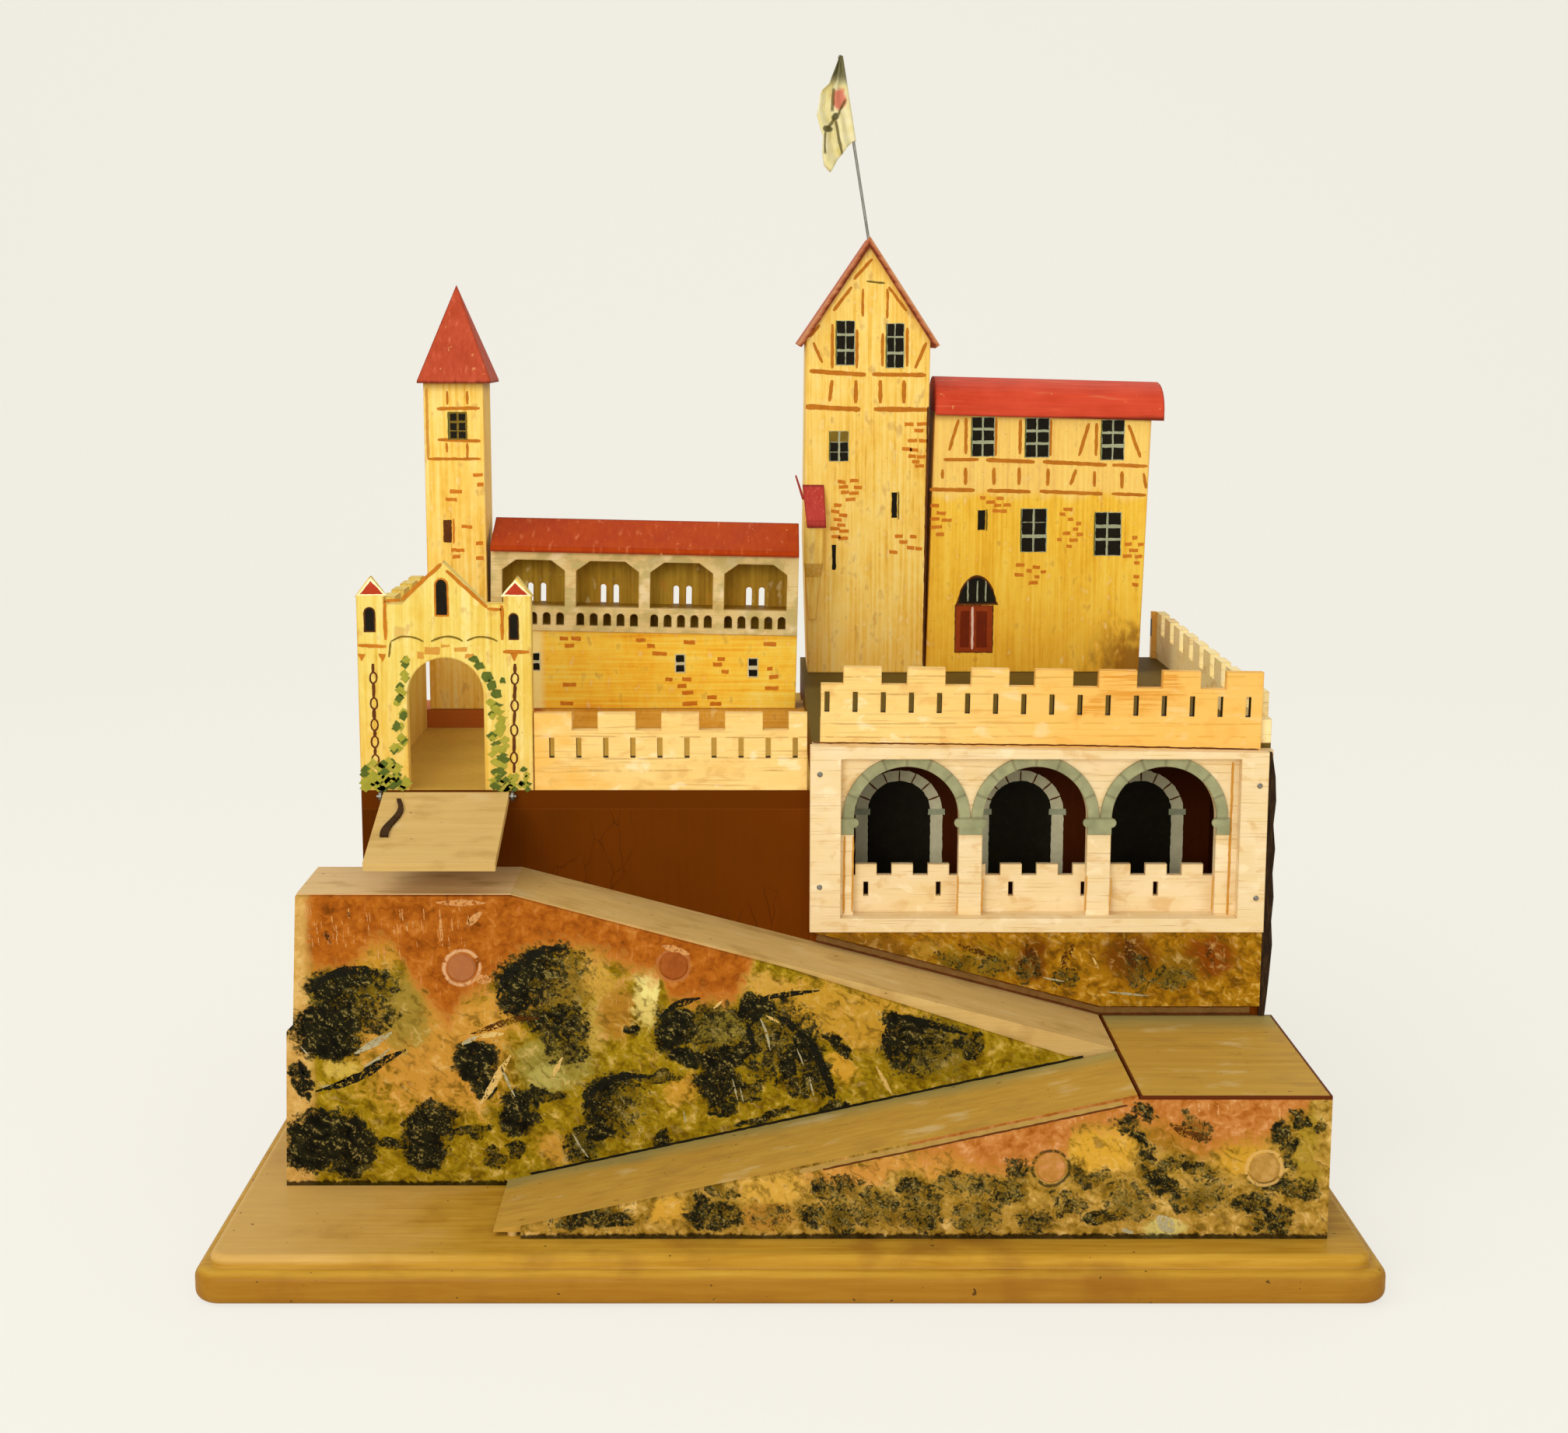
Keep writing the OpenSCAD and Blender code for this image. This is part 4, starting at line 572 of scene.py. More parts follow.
# %% Paint the lower ramp's rock
RIGHT_WASHES = [
    (131, 60, 18, 11, 0, "#D29E30"), (192, 56, 13, 10, 0, "#C8952A"),
    (30, 50, 28, 6, 10, "#C58738"), (72, 54, 22, 7, 10, "#C88B37"), (-8, 42, 14, 7, 0, "#CE9E3C"),
    (-52, 33, 9, 6, 0, "#CC9932"), (164, 64, 17, 7, -10, "#956514"), (160, 25, 9, 5, 0, "#CEBF6D"),
    (218, 60, 6, 20, 0, "#A08223"), (-10, 30, 12, 7, 0, "#AF7A2B"), (200, 51, 6, 5, 0, "#D6A444")]
RIGHT_BUSHES = [
    (-83, 28, 19, 5, 6, 0.9, 0.1), (-33, 31, 13, 8, 0, 0.85, 0.2), (-28, 42, 9, 2.5, 0, 0.55, 0),
    (-8, 30, 8, 5, 0, 0.32, 0), (10, 31, 7, 6, 0, 0.85, 0.2), (18, 44, 11, 5, 10, 0.6, 0.3),
    (22, 31, 9, 10, 0, 0.5, 0), (36, 34, 13, 10, 0, 0.42, 0), (53, 43, 7, 4, 0, 0.7, 0),
    (55, 33, 11, 9, 0, 0.55, 0), (74, 43, 14, 5, 0, 0.42, 0), (80, 31, 12, 7, 0, 0.38, 0),
    (96, 51, 5, 5, 0, 0.8, 0), (92, 40, 6, 7, 0, 0.6, 0), (104, 27, 8, 6, 0, 0.65, 0),
    (118, 36, 6, 6, 0, 0.6, 0), (124, 47, 6, 4, -30, 0.65, 0), (132, 47, 4, 3, 0, 0.6, 0),
    (130, 29, 7, 4, 0, 0.7, 0), (141, 70, 5, 4, -20, 0.9, 0), (148, 63, 6, 3.5, -40, 0.85, 0),
    (152, 57, 4, 3, -40, 0.7, 0), (149, 75, 5, 4, 0, 0.8, 0), (157, 45, 12, 4.5, -42, 0.9, 0),
    (160, 53, 5, 3.5, 0, 0.7, 0), (171, 52, 9, 3.5, -30, 0.55, 0), (164, 35, 4, 3, 0, 0.6, 0),
    (170, 70, 9, 4, -40, 0.4, 0), (196, 36, 9, 4, 0, 0.75, 0), (205, 28, 9, 7, 0, 0.75, 0),
    (207, 43, 12, 4, -6, 0.75, 0), (220, 41, 5, 5, 0, 0.65, 0), (206, 67, 3.5, 6, 20, 0.85, 0),
    (211, 60, 3, 6, 10, 0.8, 0), (212, 52, 4, 4, 0, 0.6, 0), (214, 72, 4, 4, 0, 0.85, 0),
    (222, 70, 4, 3, 0, 0.7, 0), (176, 38, 12, 8, 0, 0.3, 0), (143, 36, 10, 9, 0, 0.3, 0)]
RIGHT_RED = [
    (-40, 90), (44, 90), (52, 60), (62, 59), (72, 58), (84, 52), (98, 53), (110, 60), (117, 61),
    (119, 71), (136, 74), (150, 73), (162, 70), (176, 61), (188, 65), (203, 67), (208, 76),
    (218, 77), (220, 90), (228, 90)]
RIGHT_RINGS = [(110.4, 51.3, 7.8, "#2A2410"), (200.7, 51.3, 7.6, "#D2A65C")]
dress(rock_finish("right_rock", ("#644808", "#987424", "#B8903E", "#D6B064"), RIGHT_WASHES,
                  RIGHT_BUSHES, RIGHT_RED, rings=RIGHT_RINGS,
                  reds=("#8E490F", "#AB6524", "#C07D3D", "#D59E66"), weight=1.0),
      "right_rock_face")
print("bushes on the lower ramp's rock:", len(RIGHT_BUSHES))

# %% [markdown]
# ## The rock under the arcade, and the ends
# The strip under the arcade is darker and has no band. The rocks' ends turn away from the viewer, so
# they are read from the side and carry three plain bushes.

# %% Paint the rock under the arcade, and the ends
PANEL_WASHES = [
    (90, 110, 24, 9, 0, "#8D6B13"), (115, 111, 8, 12, -10, "#692F02"),
    (160, 112, 14, 12, 0, "#693305"), (198, 112, 13, 10, 0, "#7E3706"),
    (40, 117, 22, 5, -8, "#835714"), (66, 114, 8, 6, 0, "#AC8228"),
    (182, 106, 12, 10, 0, "#866010")]
PANEL_BUSHES = [
    (80, 109, 9, 4, 0, 0.36, 0), (96, 108, 9, 5, 0, 0.36, 0), (165, 105, 6, 9, 20, 0.4, 0),
    (131, 102, 6, 6, 0, 0.42, 0), (180, 102, 11, 6, 0, 0.32, 0), (113, 106, 5, 8, -20, 0.36, 0)]
dress(rock_finish("upper_rock_panel", ("#5F3703", "#8E5E0B", "#AD7A10", "#CD9C2D"), PANEL_WASHES,
                  PANEL_BUSHES, weight=1.1), "bastion_rock_panel")
dress(rock_finish("rock_ends", MUSTARD, [(-110, 90, 30, 30, 0, "#C48A3E")],
                  [(-110, 60, 14, 20, 0, 0.7, 0.3), (-180, 60, 14, 12, 0, 0.7, 0.3),
                   (-130, 110, 12, 10, 0, 0.7, 0.3)], ends=True),
      "left_rock_end", "right_rock_end", "left_rock_back")
print("bushes under the arcade:", len(PANEL_BUSHES))

# %% [markdown]
# ## Plugs over the screws
# Round plugs close the screw holes of the rock panels, each in a tone of its own: pale red and red on
# the upper rock, pink and gold on the lower one. Each could have its own material. They are one mesh
# with four places across, so a mask on X tells them apart.

# %% The plugs over the screws
def plug_finish():
    f = Finish("painted_plug")
    cloud = f.noise(3, detail=3)
    red = f.chart(cloud, "#783404", "#984E12", "#AC622A")
    pink = f.chart(cloud, "#986018", "#B67C34", "#D89468")
    gold = f.chart(cloud, "#8A641E", "#B0843A", "#D8AC68")
    colour = f.blend(f.step(f.x, 20, 30), red, pink)
    colour = f.blend(f.step(f.x, 150, 160), colour, gold)
    colour = f.blend(f.step(f.x, -100, -110) * 0.4, colour, "#B87C50")
    return f.done(colour, 0.5, cloud, 0.1, 0.12)


dress(plug_finish(), "rock_plugs")
print("plugs painted")

# %% [markdown]
# ## Yellow houses
# Tower, gallery, keep, hall and gatehouse are thin boards in warm yellow with the wood grain showing
# through, deeper gold toward the foot, and rubbed to brown along the edges. Each house could have a
# tree of its own. One function makes all of them, with tones and heights for each, as one hand
# painted them from one pot. A change to the wear then reaches every house.

# %% The houses' finishes
def house_finish(name, foot, top, pots=("#D49933", "#F1C04E", "#F9D36D", "#F9DF8B"), gloom=None,
                 painted_light=None, pale=None, along=False):
    f = Finish(name)
    grain = f.noise((60, 1.5, 1.5) if along else (1.5, 1.5, 60), detail=4, twist=0.3)
    wash = f.noise((14, 14, 40), detail=4)
    speck = f.noise(1.6, detail=2)
    mottle = f.noise((5, 5, 9), detail=5)
    tone = (grain - 0.5) * 1.5 + (wash - 0.5) * 0.8 + (mottle - 0.5) * 0.9 + 0.56
    colour = f.chart(tone, *pots)
    low = f.step(f.z + (wash - 0.5) * 50, foot + 60, foot)
    colour = f.blend(low * 0.3, colour, "#E49A2A")
    colour = f.blend(f.step(mottle, 0.58, 0.72) * 0.45, colour, "#C07A20")
    colour = f.blend(f.step(mottle, 0.4, 0.28) * 0.4, colour, "#FFE8A0")
    if gloom:
        x0, x1, z0, z1 = gloom
        fray = (mottle - 0.5) * 60
        corner = f.step(f.x + fray, x0, x1) * f.step(f.z + fray, z0, z1)
        colour = f.blend(corner * 0.75, colour, "#7E4410")
    # Painted light: a bright patch at the far left, where this board is seen through the gate arch, in
    # the gatehouse's shadow.
    if painted_light:
        colour = f.blend(f.step(f.x, *painted_light[:2]) * 0.9, colour, painted_light[2])
    if pale:
        upper = f.step(f.z + (wash - 0.5) * 20, pale, pale + 6)
        colour = f.blend(upper * 0.28, colour, "#FFE6A4")
    # Painted shadow: the wall darkens in the last 5 mm under the roof.
    painted_eave_shadow = f.step(f.z, top - 5, top)
    colour = f.blend(painted_eave_shadow * 0.6, colour, "#8A5218")
    colour = f.blend(f.edges(1.4) * 0.6, colour, "#A8641C")
    colour = f.blend(f.step(speck, 0.72, 0.76) * 0.5, colour, "#A8681E")
    return f.done(colour, 0.45 + grain * 0.15, grain, 0.08, 0.07)


dress(house_finish("keep_yellow", 212, 450), "keep_gables", "keep_sides", "oriel")
dress(house_finish("hall_yellow", 212, 356, ("#CF901F", "#EDB22C", "#F7C540", "#FAD154"),
                   gloom=(166, 192, 246, 222), pale=308),
      "hall_walls")
dress(house_finish("tower_yellow", 140, 374), "tower_post")
# The gallery wall's pots are brighter and more golden than the other houses': its own tone, lightened
# as painted light, as the wall stands back in shade.
dress(house_finish("gallery_yellow", 120, 300, ("#EE9E1E", "#FCC034", "#FFD44C", "#FFE270"),
                   painted_light=(-126, -131, "#FFE896"), along=True), "gallery_wall")
# On the plinth that patch is its red-brown band, lightened as painted light.
dress(house_finish("plinth_yellow", 120, 300, ("#C88420", "#DEA034", "#E8B046", "#F0C060"),
                   painted_light=(-126, -131, "#B05820"), along=True), "gallery_plinth")
# Painted shade: the gallery's inner boards take the house paint in dark olive tones, as the recess
# lies in shade.
dress(house_finish("gallery_inside_painted_shade", 240, 300, ("#664C07", "#896D16", "#A28524", "#B69834")),
      "gallery_back", "gallery_ends", "gallery_floor")
dress(house_finish("gate_yellow", 190, 300, ("#CA9D34", "#DFBB4E", "#E6CC6A", "#EBD887")),
      "gatehouse", "court_side_wall")
print("houses painted")

# %% [markdown]
# ## Cream parapets and arcade
# The crenellated boards and the arched screen are paler: cream over yellow, with faint course lines
# drawn across. The lines could be films of paint, as the windows are further down, but these are
# faint and broken. So a line is a mask on the height, and noise makes the pencil skip.

# %% Cream finishes
def cream_finish(name, pots, courses=(), olive=0.0, gold_x=None, browned=None, shaded_slots=None):
    f = Finish(name)
    wash = f.noise((18, 18, 9), detail=4)
    grain = f.noise((24, 1.6, 1.6), detail=3)
    colour = f.chart(wash * 0.65 + grain * 0.35, *pots)
    wander = f.z + (f.noise((60, 60, 8), detail=2) - 0.5) * 2.4
    for height in courses:
        away = f.unsigned(wander - height)
        line = f.step(away, 0.5, 0.2) * f.step(f.noise((9, 9, 4)), 0.42, 0.55)
        colour = f.blend(line * 0.6, colour, "#B08848")
    hair = f.noise((34, 0.8, 0.8), detail=4)
    colour = f.blend(f.step(hair, 0.44, 0.3) * 0.5, colour, "#BE8C48")
    stain = f.noise((13, 13, 8), detail=5, twist=0.5)
    colour = f.blend(f.step(stain, 0.54, 0.7) * 0.45, colour, "#D29C50")
    colour = f.blend(f.step(stain, 0.42, 0.3) * 0.4, colour, "#FFEEC8")
    if browned:
        x0, x1, z0, z1 = browned
        across = f.x + (stain - 0.5) * 50
        patch = f.step(across, x0, x0 + 12) * f.step(across, x1, x1 - 12)
        patch = patch * f.step(f.z + (stain - 0.5) * 24, z0, z1) * f.step(hair, 0.4, 0.56)
        colour = f.blend(patch * 0.85, colour, "#B85E14")
    if gold_x:
        gold = f.step(f.x + (wash - 0.5) * 120, *gold_x) * 0.55
        colour = f.blend(gold, colour, "#F0AE3C")
    if olive:
        colour = f.blend(f.step(f.noise(11, detail=3), 0.45, 0.6) * olive, colour, "#A89C58")
    colour = f.blend(f.edges(0.9) * 0.55, colour, "#B07A34")
    # Painted shade: within the arrow slits' height, faces that don't look forward or back turn dark,
    # as the inside of a slit is in shade.
    if shaded_slots:
        within = f.step(f.z, shaded_slots - 0.3, shaded_slots) * f.step(f.z, shaded_slots + 10.3, shaded_slots + 10)
        facing = f.unsigned(f.split(f.node("ShaderNodeNewGeometry", out="Normal"))[1])
        colour = f.blend(within * f.step(facing, 0.6, 0.4), colour, "#2E2408")
    return f.done(colour, 0.52, grain, 0.05, 0.07)


CREAM = ("#DCB370", "#E9CC92", "#F0D8AB", "#F2DFBF")
PARAPET = ("#DDA646", "#EEC471", "#F5D185", "#F7DDA0")
dress(cream_finish("parapet_cream", PARAPET, (216, 222, 236, 244), gold_x=(40, 150),
                   browned=(134, 186, 222, 236), shaded_slots=225), "bastion_parapet", "parapet_return")
# Golden toward the left end: partly the board's tone, partly painted shade near the gatehouse.
dress(cream_finish("court_cream", PARAPET, (200, 206, 216), gold_x=(-84, -128), shaded_slots=206),
      "court_parapet")
# Painted light: the side parapet takes a paler copy of the cream, as its inner face gets the lamps
# only at a glancing angle.
dress(cream_finish("side_cream_painted_light", ("#F0D080", "#FCE49C", "#FFECB0", "#FFF2C4")), "side_parapet")
dress(cream_finish("arcade_cream", CREAM), "arcade_screen", "arcade_frame", "arcade_breast")
dress(cream_finish("gallery_cream", ("#C4A04E", "#DDC07A", "#E8D298", "#EBDCA8"), olive=0.5),
      "gallery_screen")
print("cream boards painted")

# %% [markdown]
# ## Grey arch stones
# The arches stand out as thin grey bands with joints drawn across them, like cut stone. Each stone
# could be a block, but the real bands are bent strips with painted lines. The lines run toward each
# arch's middle, so a wave is read from the angle round the nearest arch centre.

# %% The stones' finish
ARCH_PITCH, ARCH_CENTRE, ARCH_HALF = 59.8, 177.7, 30
middle_arch = sum(span("arch_bands", 0)) / 2


def stone_finish():
    f = Finish("arch_stone")
    cloud = f.noise(7, detail=4)
    colour = f.chart(cloud, "#666547", "#898A65", "#A0A077", "#B6B281")
    joints = []
    for middle in (middle_arch - ARCH_PITCH, middle_arch, middle_arch + ARCH_PITCH):
        angle = f.node("ShaderNodeMath", {"operation": "ARCTAN2"},
                       {0: f.z - ARCH_CENTRE, 1: f.x - middle})
        wave = f.node("ShaderNodeMath", {"operation": "COSINE"}, {0: angle * 16})
        near = f.unsigned(f.x - middle)
        joints.append(f.step(wave, 0.88, 0.97) * f.step(near, ARCH_HALF, ARCH_HALF - 1))
    colour = f.blend(sum(joints) * 0.35, colour, "#54462C")
    colour = f.blend(f.edges(0.7) * 0.5, colour, "#7C5A30")
    return f.done(colour, 0.55, cloud, 0.08, 0.1)


dress(stone_finish(), "arch_bands")
print("arches painted, the middle one at", middle_arch)

# %% [markdown]
# ## Red roofs
# Each roof is brushed red, with the bristles' tracks running down its slope and the paint thin or
# dark at the rims. The roofs differ: pinkish on the keep, orange-red on the gallery, deep red with a
# pale chip on the tower. The tracks could be modelled as ridges, but at a tenth of a millimetre deep
# they are work for a Bump node. The size of the noise on each axis gives their direction.

# %% The roofs' finishes
def roof_finish(name, tracks, pots, rim="#5A1A10", rim_share=0.6, shaded_eave=None, gable=None):
    f = Finish(name)
    track = f.noise(tracks, detail=5, twist=0.4)
    patch = f.noise(14, detail=4)
    colour = f.chart(track * 0.5 + patch * 0.5, *pots)
    colour = f.blend(f.step(track, 0.6, 0.72) * 0.4, colour, "#D98056")
    colour = f.blend(f.edges(2.2) * rim_share, colour, rim)
    # Painted shade: the roof darkens along its lower edge, at the eave.
    if shaded_eave:
        low = f.step(f.z + (track - 0.5) * 3, shaded_eave + 2.4, shaded_eave)
        colour = f.blend(low * 0.85, colour, "#5A1C06")
    if gable:
        middle, peak, slope, front = gable
        aside = f.unsigned(f.x - middle)
        inward = (peak - f.z - aside * slope) * math.cos(math.atan(slope)) / 3.4
        ends = f.chart(inward + (track - 0.5) * 0.8, "#C48C60", "#B0603A", "#5E2410", "#7E3E1C")
        colour = f.blend(f.step(f.y, front + 0.8, front + 0.3), colour, ends)
    chip = f.step(f.noise(4.2, detail=3), 0.7, 0.72)
    colour = f.blend(chip * 0.6, colour, "#D9955A")
    return f.done(colour, 0.46 + patch * 0.15, track, 0.1, 0.05)


dress(roof_finish("tower_red", (1.8, 1.8, 40), ("#7A2817", "#A94023", "#C15336", "#CC7352"),
                  shaded_eave=span("tower_roof", 2)[0] - 0.6), "tower_roof")
dress(roof_finish("keep_red", (26, 26, 2.0), ("#8A3018", "#B25030", "#BC6440", "#C88460"),
                  rim="#B8743C", rim_share=0.4,
                  gable=(47.2, 451.6, 1.51, span("keep_roof", 1)[0])), "keep_roof")
dress(roof_finish("hall_red", (34, 5, 2.2), ("#8E2410", "#C23E22", "#D85034", "#E07858"),
                  shaded_eave=span("hall_roof", 2)[0] + 0.8), "hall_roof")
dress(roof_finish("gallery_red", (2.4, 9, 9), ("#751D00", "#A63302", "#B54406", "#C36219")),
      "gallery_roof")
dress(roof_finish("bay_red", (1.6, 1.6, 12), ("#7E2416", "#A8342A", "#BC443A", "#C86054")),
      "oriel_roof")
print("roofs brushed")

# %% [markdown]
# ## Small metal, leather and bark
# Nails, staples, hinge pin and flagpole are dull wire. The pull is a scrap of dark leather, and the
# strip at the terrace's corner is rough dark bark. Rust, stitches or fibres could be added, but at
# this size a tone, a fine relief and the right shine say enough.

# %% Their finishes
def small_finish(name, pots, size, rough, metal=0.0, height=0.1, gloss=0.05):
    f = Finish(name)
    spot = f.noise(size, detail=4)
    return f.done(f.chart(spot, *pots), rough + spot * 0.2, spot, height, gloss, metal)


wire = small_finish("dull_wire", ("#4A4842", "#7C7A72", "#96948C"), 2.5, 0.3, 0.8, gloss=0.5)
dress(wire, "frame_nails", "bridge_staples", "bridge_pin", "flagpole")
dress(small_finish("dark_leather", ("#1C120A", "#3A2614", "#4E361E"), 3, 0.5), "bridge_pull")
dress(small_finish("rough_bark", ("#140E08", "#2E2014", "#5A4228"), (1.2, 2, 6), 0.7, height=0.5),
      "corner_strip")
print("small parts done")

# %% [markdown]
# ## Paint that lies on the boards
# Windows, timbers, bricks, ivy and chains are painted, so each is a film of paint a tenth of a
# millimetre thick on its board's front. An image would be the usual way. A film of mesh needs no
# image, keeps a crisp edge at any zoom, and moves with its house. A later coat stands a little
# further out, so that it covers the one before. All films of one colour are one mesh.

# %% From outlines to a film of paint
FILM = 0.05


def film_mesh(name, films, front):
    """A mesh of outlines with their coats, in millimetres, on a board whose front is at this y."""
    mesh = bmesh.new()
    for outline, coat in films:
        skin = front - FILM * (1 + coat)
        ring = [mesh.verts.new((x * MM, skin * MM, z * MM)) for x, z in outline]
        foot = [mesh.verts.new((x * MM, front * MM, z * MM)) for x, z in outline]
        face = mesh.faces.new(ring)
        face.normal_update()
        if face.normal.y > 0:
            face.normal_flip()
        for i in range(len(ring)):
            j = (i + 1) % len(ring)
            mesh.faces.new((ring[i], foot[i], foot[j], ring[j]))
    bmesh.ops.recalc_face_normals(mesh, faces=mesh.faces)
    data = bpy.data.meshes.new(name)
    mesh.to_mesh(data)
    mesh.free()
    return data


print("coats are", FILM, "mm apart")

# %% [markdown]
# A brush never draws a straight line. Straight films would look printed, and drawing every wobble by
# hand would take a day. So an outline is cut into short steps, and each step wanders a little from
# the last. The draws come from a seed of the painter's own, so each run gives the same hand.

# %% A painter for one board
PITCH = 1.6


class Painter:
    """Gathers strokes for a board's front, and hangs one film per colour on the board's body."""

    def __init__(self, name, body, board, slot, seed):
        self.name, self.body, self.slot = name, body, slot
        self.front, _ = span(board, 1)
        self.hand = random.Random(seed)
        self.films = {}

    def wander(self, points, sway):
        outline = []
        for i, (x, z) in enumerate(points):
            nx, nz = points[(i + 1) % len(points)]
            steps = max(1, round(math.hypot(nx - x, nz - z) / PITCH))
            for k in range(steps):
                t = k / steps
                outline.append((x + (nx - x) * t + self.hand.uniform(-sway, sway),
                                z + (nz - z) * t + self.hand.uniform(-sway, sway)))
        return outline

    def patch(self, colour, points, coat=1, sway=0.16):
        self.films.setdefault(colour, []).append((self.wander(points, sway), coat))

    def pane(self, colour, x0, x1, z0, z1, coat=2):
        self.patch(colour, [(x0, z0), (x1, z0), (x1, z1), (x0, z1)], coat)

    def stroke(self, colour, points, width, coat=1, taper=True, swell=False):
        """A brush stroke along points, thinner at its ends, or swelling toward its middle."""
        path = [Vector(points[0])]
        for a, b in zip(points, points[1:]):
            a, b = Vector(a), Vector(b)
            steps = max(1, round((b - a).length / 2))
            path += [a.lerp(b, (k + 1) / steps) for k in range(steps)]
        left, right = [], []
        for i, p in enumerate(path):
            along = (path[min(i + 1, len(path) - 1)] - path[max(i - 1, 0)]).normalized()
            side = Vector((-along.y, along.x))
            end = min(i, len(path) - 1 - i)
            share = 0.62 if taper and end == 0 else 1.0
            if swell:
                share = max(0.12, math.sin(math.pi * i / (len(path) - 1))) ** 0.7
            half = width / 2 * share * self.hand.uniform(0.84, 1.14)
            p = p + side * self.hand.uniform(-0.12, 0.12)
            left.append(tuple(p + side * half))
            right.append(tuple(p - side * half))
        self.films.setdefault(colour, []).append((left + right[::-1], coat))

    def brick(self, colour, x, z, width, height=1.9):
        half = width / 2
        tip = self.hand.uniform(-0.35, 0.35)
        self.patch(colour, [(x - half, z - height / 2), (x + half, z - height / 2 + tip),
                            (x + half, z + height / 2 + tip), (x - half, z + height / 2)], 1, 0.2)

    def beams(self, *lines):
        """Timber strokes, each with its two ends and its width."""
        for x0, z0, x1, z1, width in lines:
            self.stroke("timber", [(x0, z0), (x1, z1)], width)

    def bricks(self, *spots, height=1.9):
        for x, z, width in spots:
            self.brick("brick", x, z, width, height)

    def hang(self, paints):
        """One mesh object per colour, each riding on the board's body."""
        for colour, films in self.films.items():
            name = f"{self.name}_{colour}"
            piece = add(name, film_mesh(name, films, self.front))
            piece.data.materials.append(paints[colour])
            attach(piece, self.body)
        print(self.name, {c: len(s) for c, s in self.films.items()})


# %% [markdown]
# ## Pots of hand paint
# The same few pots were used all over the castle. One flat colour would look printed, so a fine cloud
# mixes three near tones. For a brush that runs dry, Alpha leaves the board bare wherever a fine noise
# is low. Films like that must not lie in many layers, because a ray that has to pass them all is cut
# off and comes out black. So ivy and leaves, which do, are full films.

# %% Mix the pots
def pot(name, *codes, bare=0.0):
    """Three near tones, and bare board where the brush ran dry."""
    f = Finish(name)
    cloud = f.noise(2.2, detail=4) * 0.5 + f.noise(7, detail=2) * 0.5
    film = f.step(f.noise(1.5, detail=4, twist=1.0), bare, bare + 0.1) if bare else 1.0
    return f.done(f.chart(cloud, *codes), 0.5, cloud, 0.05, 0.05, cover=film)


PAINTS = {
    "black": pot("window_black", "#0C0A06", "#1A160C", "#2A2412"),
    "bar": pot("window_bar", "#7E8466", "#A4A684", "#C4C29C"),
    "green": pot("window_green", "#3E4424", "#5E6234", "#7A7A44"),
    "timber": pot("timber_brown", "#985210", "#BE721C", "#D68C2C"),
    "olive": pot("olive_line", "#5A4A18", "#7C6420", "#94782E"),
    "brick": pot("brick_orange", "#B45C10", "#CE781E", "#DC9438"),
    "stone": pot("stone_grey", "#B4AC86", "#D2CAA2", "#E6DEB8"),
    "line": pot("dark_line", "#3A1C08", "#5C3010", "#7A4418"),
    "red": pot("cap_red", "#8E2410", "#B23A1E", "#C85A34"),
    "rim": pot("pale_rim", "#E8D890", "#F6ECB8", "#FAF2CC"),
    "ivy": pot("ivy_dark", "#3A4818", "#566424", "#747A30"),
    "leaf": pot("ivy_leaf", "#7E7E22", "#A09A34", "#C2B050"),
    "door": pot("door_brown", "#74290A", "#903810", "#A64C1E"),
    "panel": pot("door_panel", "#541A06", "#6C2408", "#80300E"),
    "pink": pot("door_light", "#D9A890", "#E6BCA4", "#EECBB4"),
    "stain": pot("old_stain", "#B8782A", "#CC9038", "#D8A452"),
    "night": pot("bush_dark", "#0C0B05", "#16150A", "#24221A", bare=0.38),
    "rust": pot("bush_brown", "#341A02", "#502C06", "#724812", bare=0.44),
    "chalk": pot("chalk_grey", "#827852", "#AAA07A", "#CEC49C", bare=0.36),
    "sand": pot("sand_cream", "#BC9044", "#D2AE62", "#E8CE8C", bare=0.36),
    "drip": pot("pale_drip", "#B87838", "#CC9052", "#DCA86C", bare=0.38),
    "edge": pot("board_edge", "#8E6C30", "#AA8642", "#BE9C58"),
    "raw": pot("raw_wood", "#5E401A", "#7E5A2C", "#967040"),
}
print("pots of paint:", len(PAINTS))

# %% [markdown]
# ## Brush strokes on the rocks
# Over the sponged bushes the painter drew with the brush: dark rims and branches, and pale grey
# lights. They could be more ellipses in the rock's list, but a stroke is long and bends. Each has its
# pot, its width and the points that it runs through, and swells between them.

# %% Draw on the upper ramp's rock
RAMP_CLIMB = 0.2213


def beside_ramp(height, start, stop):
    """Points along the ramps' slope, where height is its own at the middle of the castle."""
    return [(x, height + RAMP_CLIMB * x) for x in range(start, stop, 8)]


